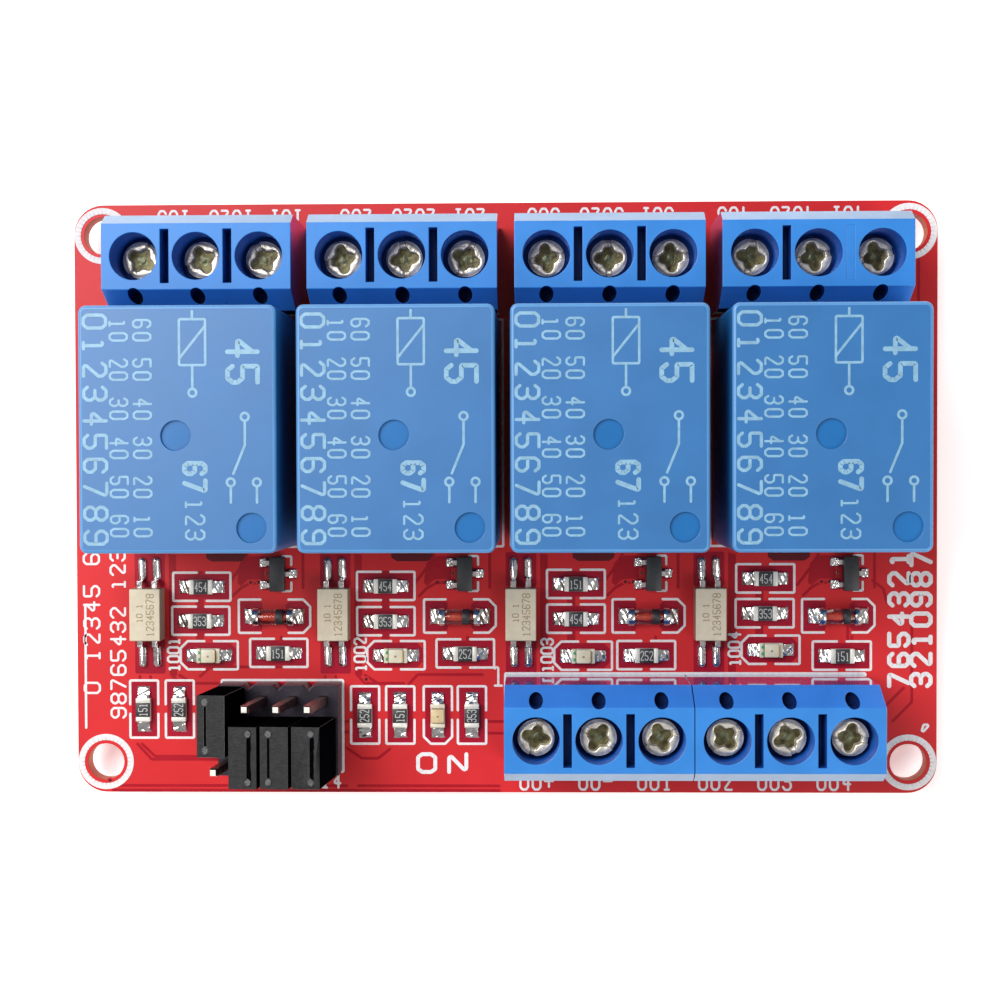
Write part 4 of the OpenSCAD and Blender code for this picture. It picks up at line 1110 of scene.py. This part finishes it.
dies = [(x + 0.02, y - 0.03, pad_z + 0.785, 20, 1) for x, y, _, _, _ in lamp_all]
copied("lamp_dies", soft_brick((-0.09, -0.08, 0), (0.09, 0.08, 0.02), 0.008), dies, ink_brown)
all_chips = chip_spots + lamp_all
end_spots = [(x, y, z, turn + half, 1) for x, y, z, turn, _ in all_chips for half in (0, 180)]
end_cap = (0.64, -0.615, 0.0), (0.995, 0.615, 0.54), 0.06, 2
of_chips = 2 * len(chip_spots)
copied("chip_end_caps", soft_brick(*end_cap), end_spots[:of_chips], tin_matte, "tinned_pins",
       "chip_ends")
copied("lamp_end_caps", soft_brick(*end_cap), end_spots[of_chips:], lamp_cream, "tinned_pins")
print("chips:", len(all_chips), "ends:", len(end_spots))

# %% [markdown]
# ## Couplers, transistors and diodes
# A photocoupler is a pale resin brick with a parting line all round and four bent leads. A small
# transistor is a black brick on three leads. A glass diode lies on its two metal ends, with a
# black band at the cathode.

# %% Couplers and transistors
# Faces that look sideways are painted a darker brown: a painted shade on the couplers' sides.
softened("coupler_bodies", "photocouplers", 0.10, coupler_resin, "board", "coupler_resin", 3,
         lambda normal, at, area: int(abs(normal.z) < 0.8), (coupler_side,))
ink = []
for at, _ in optos:
    ink += written("12345678", (at.x + 0.45, at.y), 0.62, 90, 0.98, 0.76)
    ink += written("10 1", (at.x - 0.45, at.y + 0.15), 0.5, 90, 0.95, 0.85)
coupler_top = optos[0][0].z + optos[0][1].z / 2
drawn("coupler_figures", ink, 0.075, coupler_top - 0.006, coupler_top + 0.010, ink_brown, 0.03)
softened("coupler_leads", "photocoupler_leads", 0.03, tin, "board", "tinned_pins")
copied("transistor_bodies", soft_brick((-0.65, -1.45, -0.5), (0.65, 1.45, 0.5), 0.09, 2),
       [(at.x, at.y, at.z, 0, 1) for at, _ in transistors], chip_black, "chip_black",
       "transistors")
softened("transistor_feet", "transistor_leads", 0.03, tin, "board", "tinned_pins")
print("coupler strokes:", len(ink))


# %% Diodes
def turned(profile, count=28):
    """A solid of revolution about x from (x, radius) pairs."""
    bm = bmesh.new()
    loops = [[bm.verts.new((x, r * math.cos(a), r * math.sin(a))) for a in angles(count)]
             for x, r in profile]
    walled(bm, loops)
    bm.faces.new(loops[0])
    bm.faces.new(list(reversed(loops[-1])))
    bmesh.ops.recalc_face_normals(bm, faces=bm.faces)
    return mesh_of("turned", bm)


diode_spots = [(at.x, at.y, at.z, 0, 1) for at, _ in diodes]
glass = [(-1.24, 0.50), (-1.20, 0.60), (-0.95, 0.65), (0.95, 0.65), (1.20, 0.60), (1.24, 0.50)]
copied("diode_bodies", turned(glass), diode_spots, clear_glass, "diode_glass",
       "diode_glass")
core = [(-1.15, 0.12), (-1.05, 0.20), (-0.5, 0.23), (-0.2, 0.26), (0.3, 0.22), (0.95, 0.20),
        (1.15, 0.14)]
copied("diode_cores", turned(core), diode_spots, glass_orange)
copied("diode_bands", turned([(0.26, 0.652), (0.28, 0.664), (0.84, 0.664), (0.86, 0.652)]),
       diode_spots, chip_black)
cap_spots = [(x, y, z, half, 1) for x, y, z, _, _ in diode_spots for half in (0, 180)]
end = [(1.20, 0.60), (1.23, 0.72), (1.30, 0.75), (1.66, 0.75), (1.74, 0.70), (1.75, 0.60)]
copied("diode_end_caps", turned(end), cap_spots, tin, "tinned_pins", "diode_ends")
print("diodes:", len(diode_spots))

# %% [markdown]
# ## Solder
# Every pad carries solder: hollow fillets against the chip ends, long thin ones along the leads,
# and under the board a cone round every pin. All of them are copies of a few lumpy height fields.

# %% Solder on pads
fillets = [[], [], []]
for k, (x, y, _, turn, _) in enumerate(end_spots):
    a = math.radians(turn)
    fillets[k % 3].append((x + 0.93 * math.cos(a), y + 0.93 * math.sin(a), TOP, turn,
                           (1, 1 if k % 2 else 0.93, 1 if k % 4 else 0.85)))
for k, (x, y, _, half, _) in enumerate(cap_spots):
    a = math.radians(half)
    fillets[(k + 1) % 3].append((x + 1.5 * math.cos(a), y, TOP, half, (1.05, 1.2, 1.35)))
for at, _ in transistors:
    for dx, dy, turn in ((-0.98, 0.95, 180), (-0.98, -0.95, 180), (0.98, 0, 0)):
        fillets[0].append((at.x + dx, at.y + dy, TOP, turn, (0.62, 0.62, 0.55)))
pills = [(at.x + sx * 0.635, at.y + dy, TOP, 90 + 180 * (sx > 0), (1, 1, 1))
         for at, _ in optos for sx in (-1, 1) for dy in (3.78, -3.62)]
for k, spots in enumerate(fillets):
    copied(f"solder_fillets_{k + 1}", fillet_mesh(1.05, 1.32, 0.34, 1.7 * k + 0.6), spots, tin,
           "solder")
copied("lead_solder", pill_mesh(2.05, 0.76, 0.42), pills, tin, "solder")
print("fillets:", [len(spots) for spots in fillets], "along leads:", len(pills))


# %% Solder cones under the board
def cone_mesh(top_r, pin_r, high, sides=20, rows=7):
    """A hollow cone that flares from the pin to the pad."""
    bm = bmesh.new()
    loops = []
    for k in range(rows + 1):
        t = k / rows
        r = top_r + (pin_r - top_r) * (1 - (1 - t) ** 2.2)
        loops.append([bm.verts.new((r * math.cos(a), r * math.sin(a), -high * t))
                      for a in angles(sides)])
    walled(bm, loops, down=True)
    bm.faces.new(list(reversed(loops[-1])))
    bm.faces.new(loops[0])
    return mesh_of("cone", bm)


joints = [(low, high) for low, high in groups("solder_joints") if low.z < -0.1]
cones = [((low.x + high.x) / 2, (low.y + high.y) / 2, 0, picker.uniform(0, 360),
          (1, 1, picker.uniform(0.92, 1.0))) for low, high in joints]
copied("solder_cones", cone_mesh(0.98, 0.52, 0.8), cones, solder_dull, "solder", "solder_joints")
print("cones:", len(cones))

# %% [markdown]
# ## Header and jumper caps
# The trigger header is a black strip of three rows of square pins. Each jumper cap is a small black
# box with a slit in its top; the caps are what a user moves to choose the trigger level.

# %% Header and caps
def leaning(name, polygons, plane, lift, material, body):
    """Flat patches in a tilted plane of (origin, along, up), with corners in mm."""
    origin, along, up = plane
    across = up.cross(along)
    bm = bmesh.new()
    for corners in polygons:
        bm.faces.new([bm.verts.new((origin + along * u + across * v + up * lift) * MM)
                      for u, v in corners])
    return belongs(as_object(name, bm, material), body, None)


softened("header_strip", "header_body", 0.06, black_plastic, "board", "black_plastic")
softened("header_pin_set", "header_pins", 0.03, gold_pin, "board", "gold_pins", 1,
         lambda normal, at, area: int(normal.z > 0.5 and at.z > TOP + 5), (tin_matte,))
for i in range(1, 5):
    # Its bevels take a lighter grey, a painted highlight.
    # The cap's sides are painted near black without gloss, a painted shade.
    softened(f"jumper_shell_{i}", f"jumper_cap_{i}", 0.07, jumper_black, f"jumper_{i}",
             "black_plastic", 2, lambda normal, at, area: int(normal.z < 0.5),
             (jumper_side, jumper_edge), 2)
    # The spring clip is painted a dark brass, a painted shade inside the cap.
    softened(f"jumper_spring_{i}", f"jumper_clip_{i}", 0.02, clip_dark, f"jumper_{i}",
             "cage_brass", 1)
    bm = merged(f"jumper_cap_{i}")
    discs = [(face.calc_center_median() / MM, face.normal.copy()) for face in bm.faces
             if face.normal.z > 0.9 and 0.18 < face.calc_area() / MM ** 2 < 0.28]
    flat = max(bm.faces, key=lambda face: face.calc_area() * (face.normal.z > 0.9)).verts[0].co / MM
    bm.free()
    (lower, up), (upper, _) = sorted(discs, key=lambda disc: disc[0].y)
    sunk = (flat - lower).dot(up)
    reach = (upper - lower).length / 2
    wide, end, aside = ((0.07, -0.45, 0.0), (0.15, 0.3, -0.12))[i in (2, 4)]
    rows = [(reach + end) * k / 8 for k in range(-8, 9)]
    # A jagged near-black patch over the slit, just above the cap's top face: a painted shadow.
    shadow_patch = ([(u, aside - wide * picker.uniform(0.6, 1.1)) for u in rows]
             + [(u, aside + wide * picker.uniform(0.6, 1.1)) for u in reversed(rows)])
    # Lighter grey blobs on the two nubs: a painted highlight.
    blobs = [[(u + r * 1.15 * math.cos(a), r * math.sin(a)) for a, r in
              ((k * math.pi / 8, picker.uniform(0.19, 0.27)) for k in range(16))]
             for u in (-reach, reach)]
    plane = (lower + upper) / 2, (upper - lower).normalized(), up
    leaning(f"slit_mouth_{i}", [shadow_patch], plane, sunk + 0.004, jumper_side, f"jumper_{i}")
    leaning(f"nub_marks_{i}", blobs, plane, 0.003, jumper_edge, f"jumper_{i}")

# %% [markdown]
# ## Inside the housings
# The cages, pins and relay works are seen only from below, through the wire openings or with a
# case taken off. Their CAD shapes are right, so most keep them and only get soft edges and metal.

# %% Hidden works
softened("clamping_cages", "terminal_cages", 0.05, cage_brass, "board", "cage_brass", 1)
softened("terminal_pin_set", "terminal_pins", 0.04, tin, "board", "tinned_pins", 1)
softened("relay_base_plates", "relay_bases", 0.05, base_blue, "board", "relay_base", 1)
softened("relay_coil_pin_set", "relay_coil_pins", 0.04, tin, "board", "tinned_pins", 1)
for node, material in (("relay_bobbins", bobbin_white), ("relay_coils", copper_wire),
                       ("relay_cores", soft_iron), ("relay_yokes", soft_iron),
                       ("relay_common_strips", bronze), ("relay_closed_contacts", bronze),
                       ("relay_open_contacts", bronze)):
    nodes[node].data.materials.clear()
    nodes[node].data.materials.append(material)
for i in range(1, 5):
    softened(f"armature_plate_{i}", f"relay_armature_{i}", 0.06, soft_iron, f"armature_{i}",
             "relay_iron", 2)
    softened(f"contact_leaf_{i}", f"relay_leaf_{i}", 0.03, bronze, f"armature_{i}",
             "contact_bronze", 1)
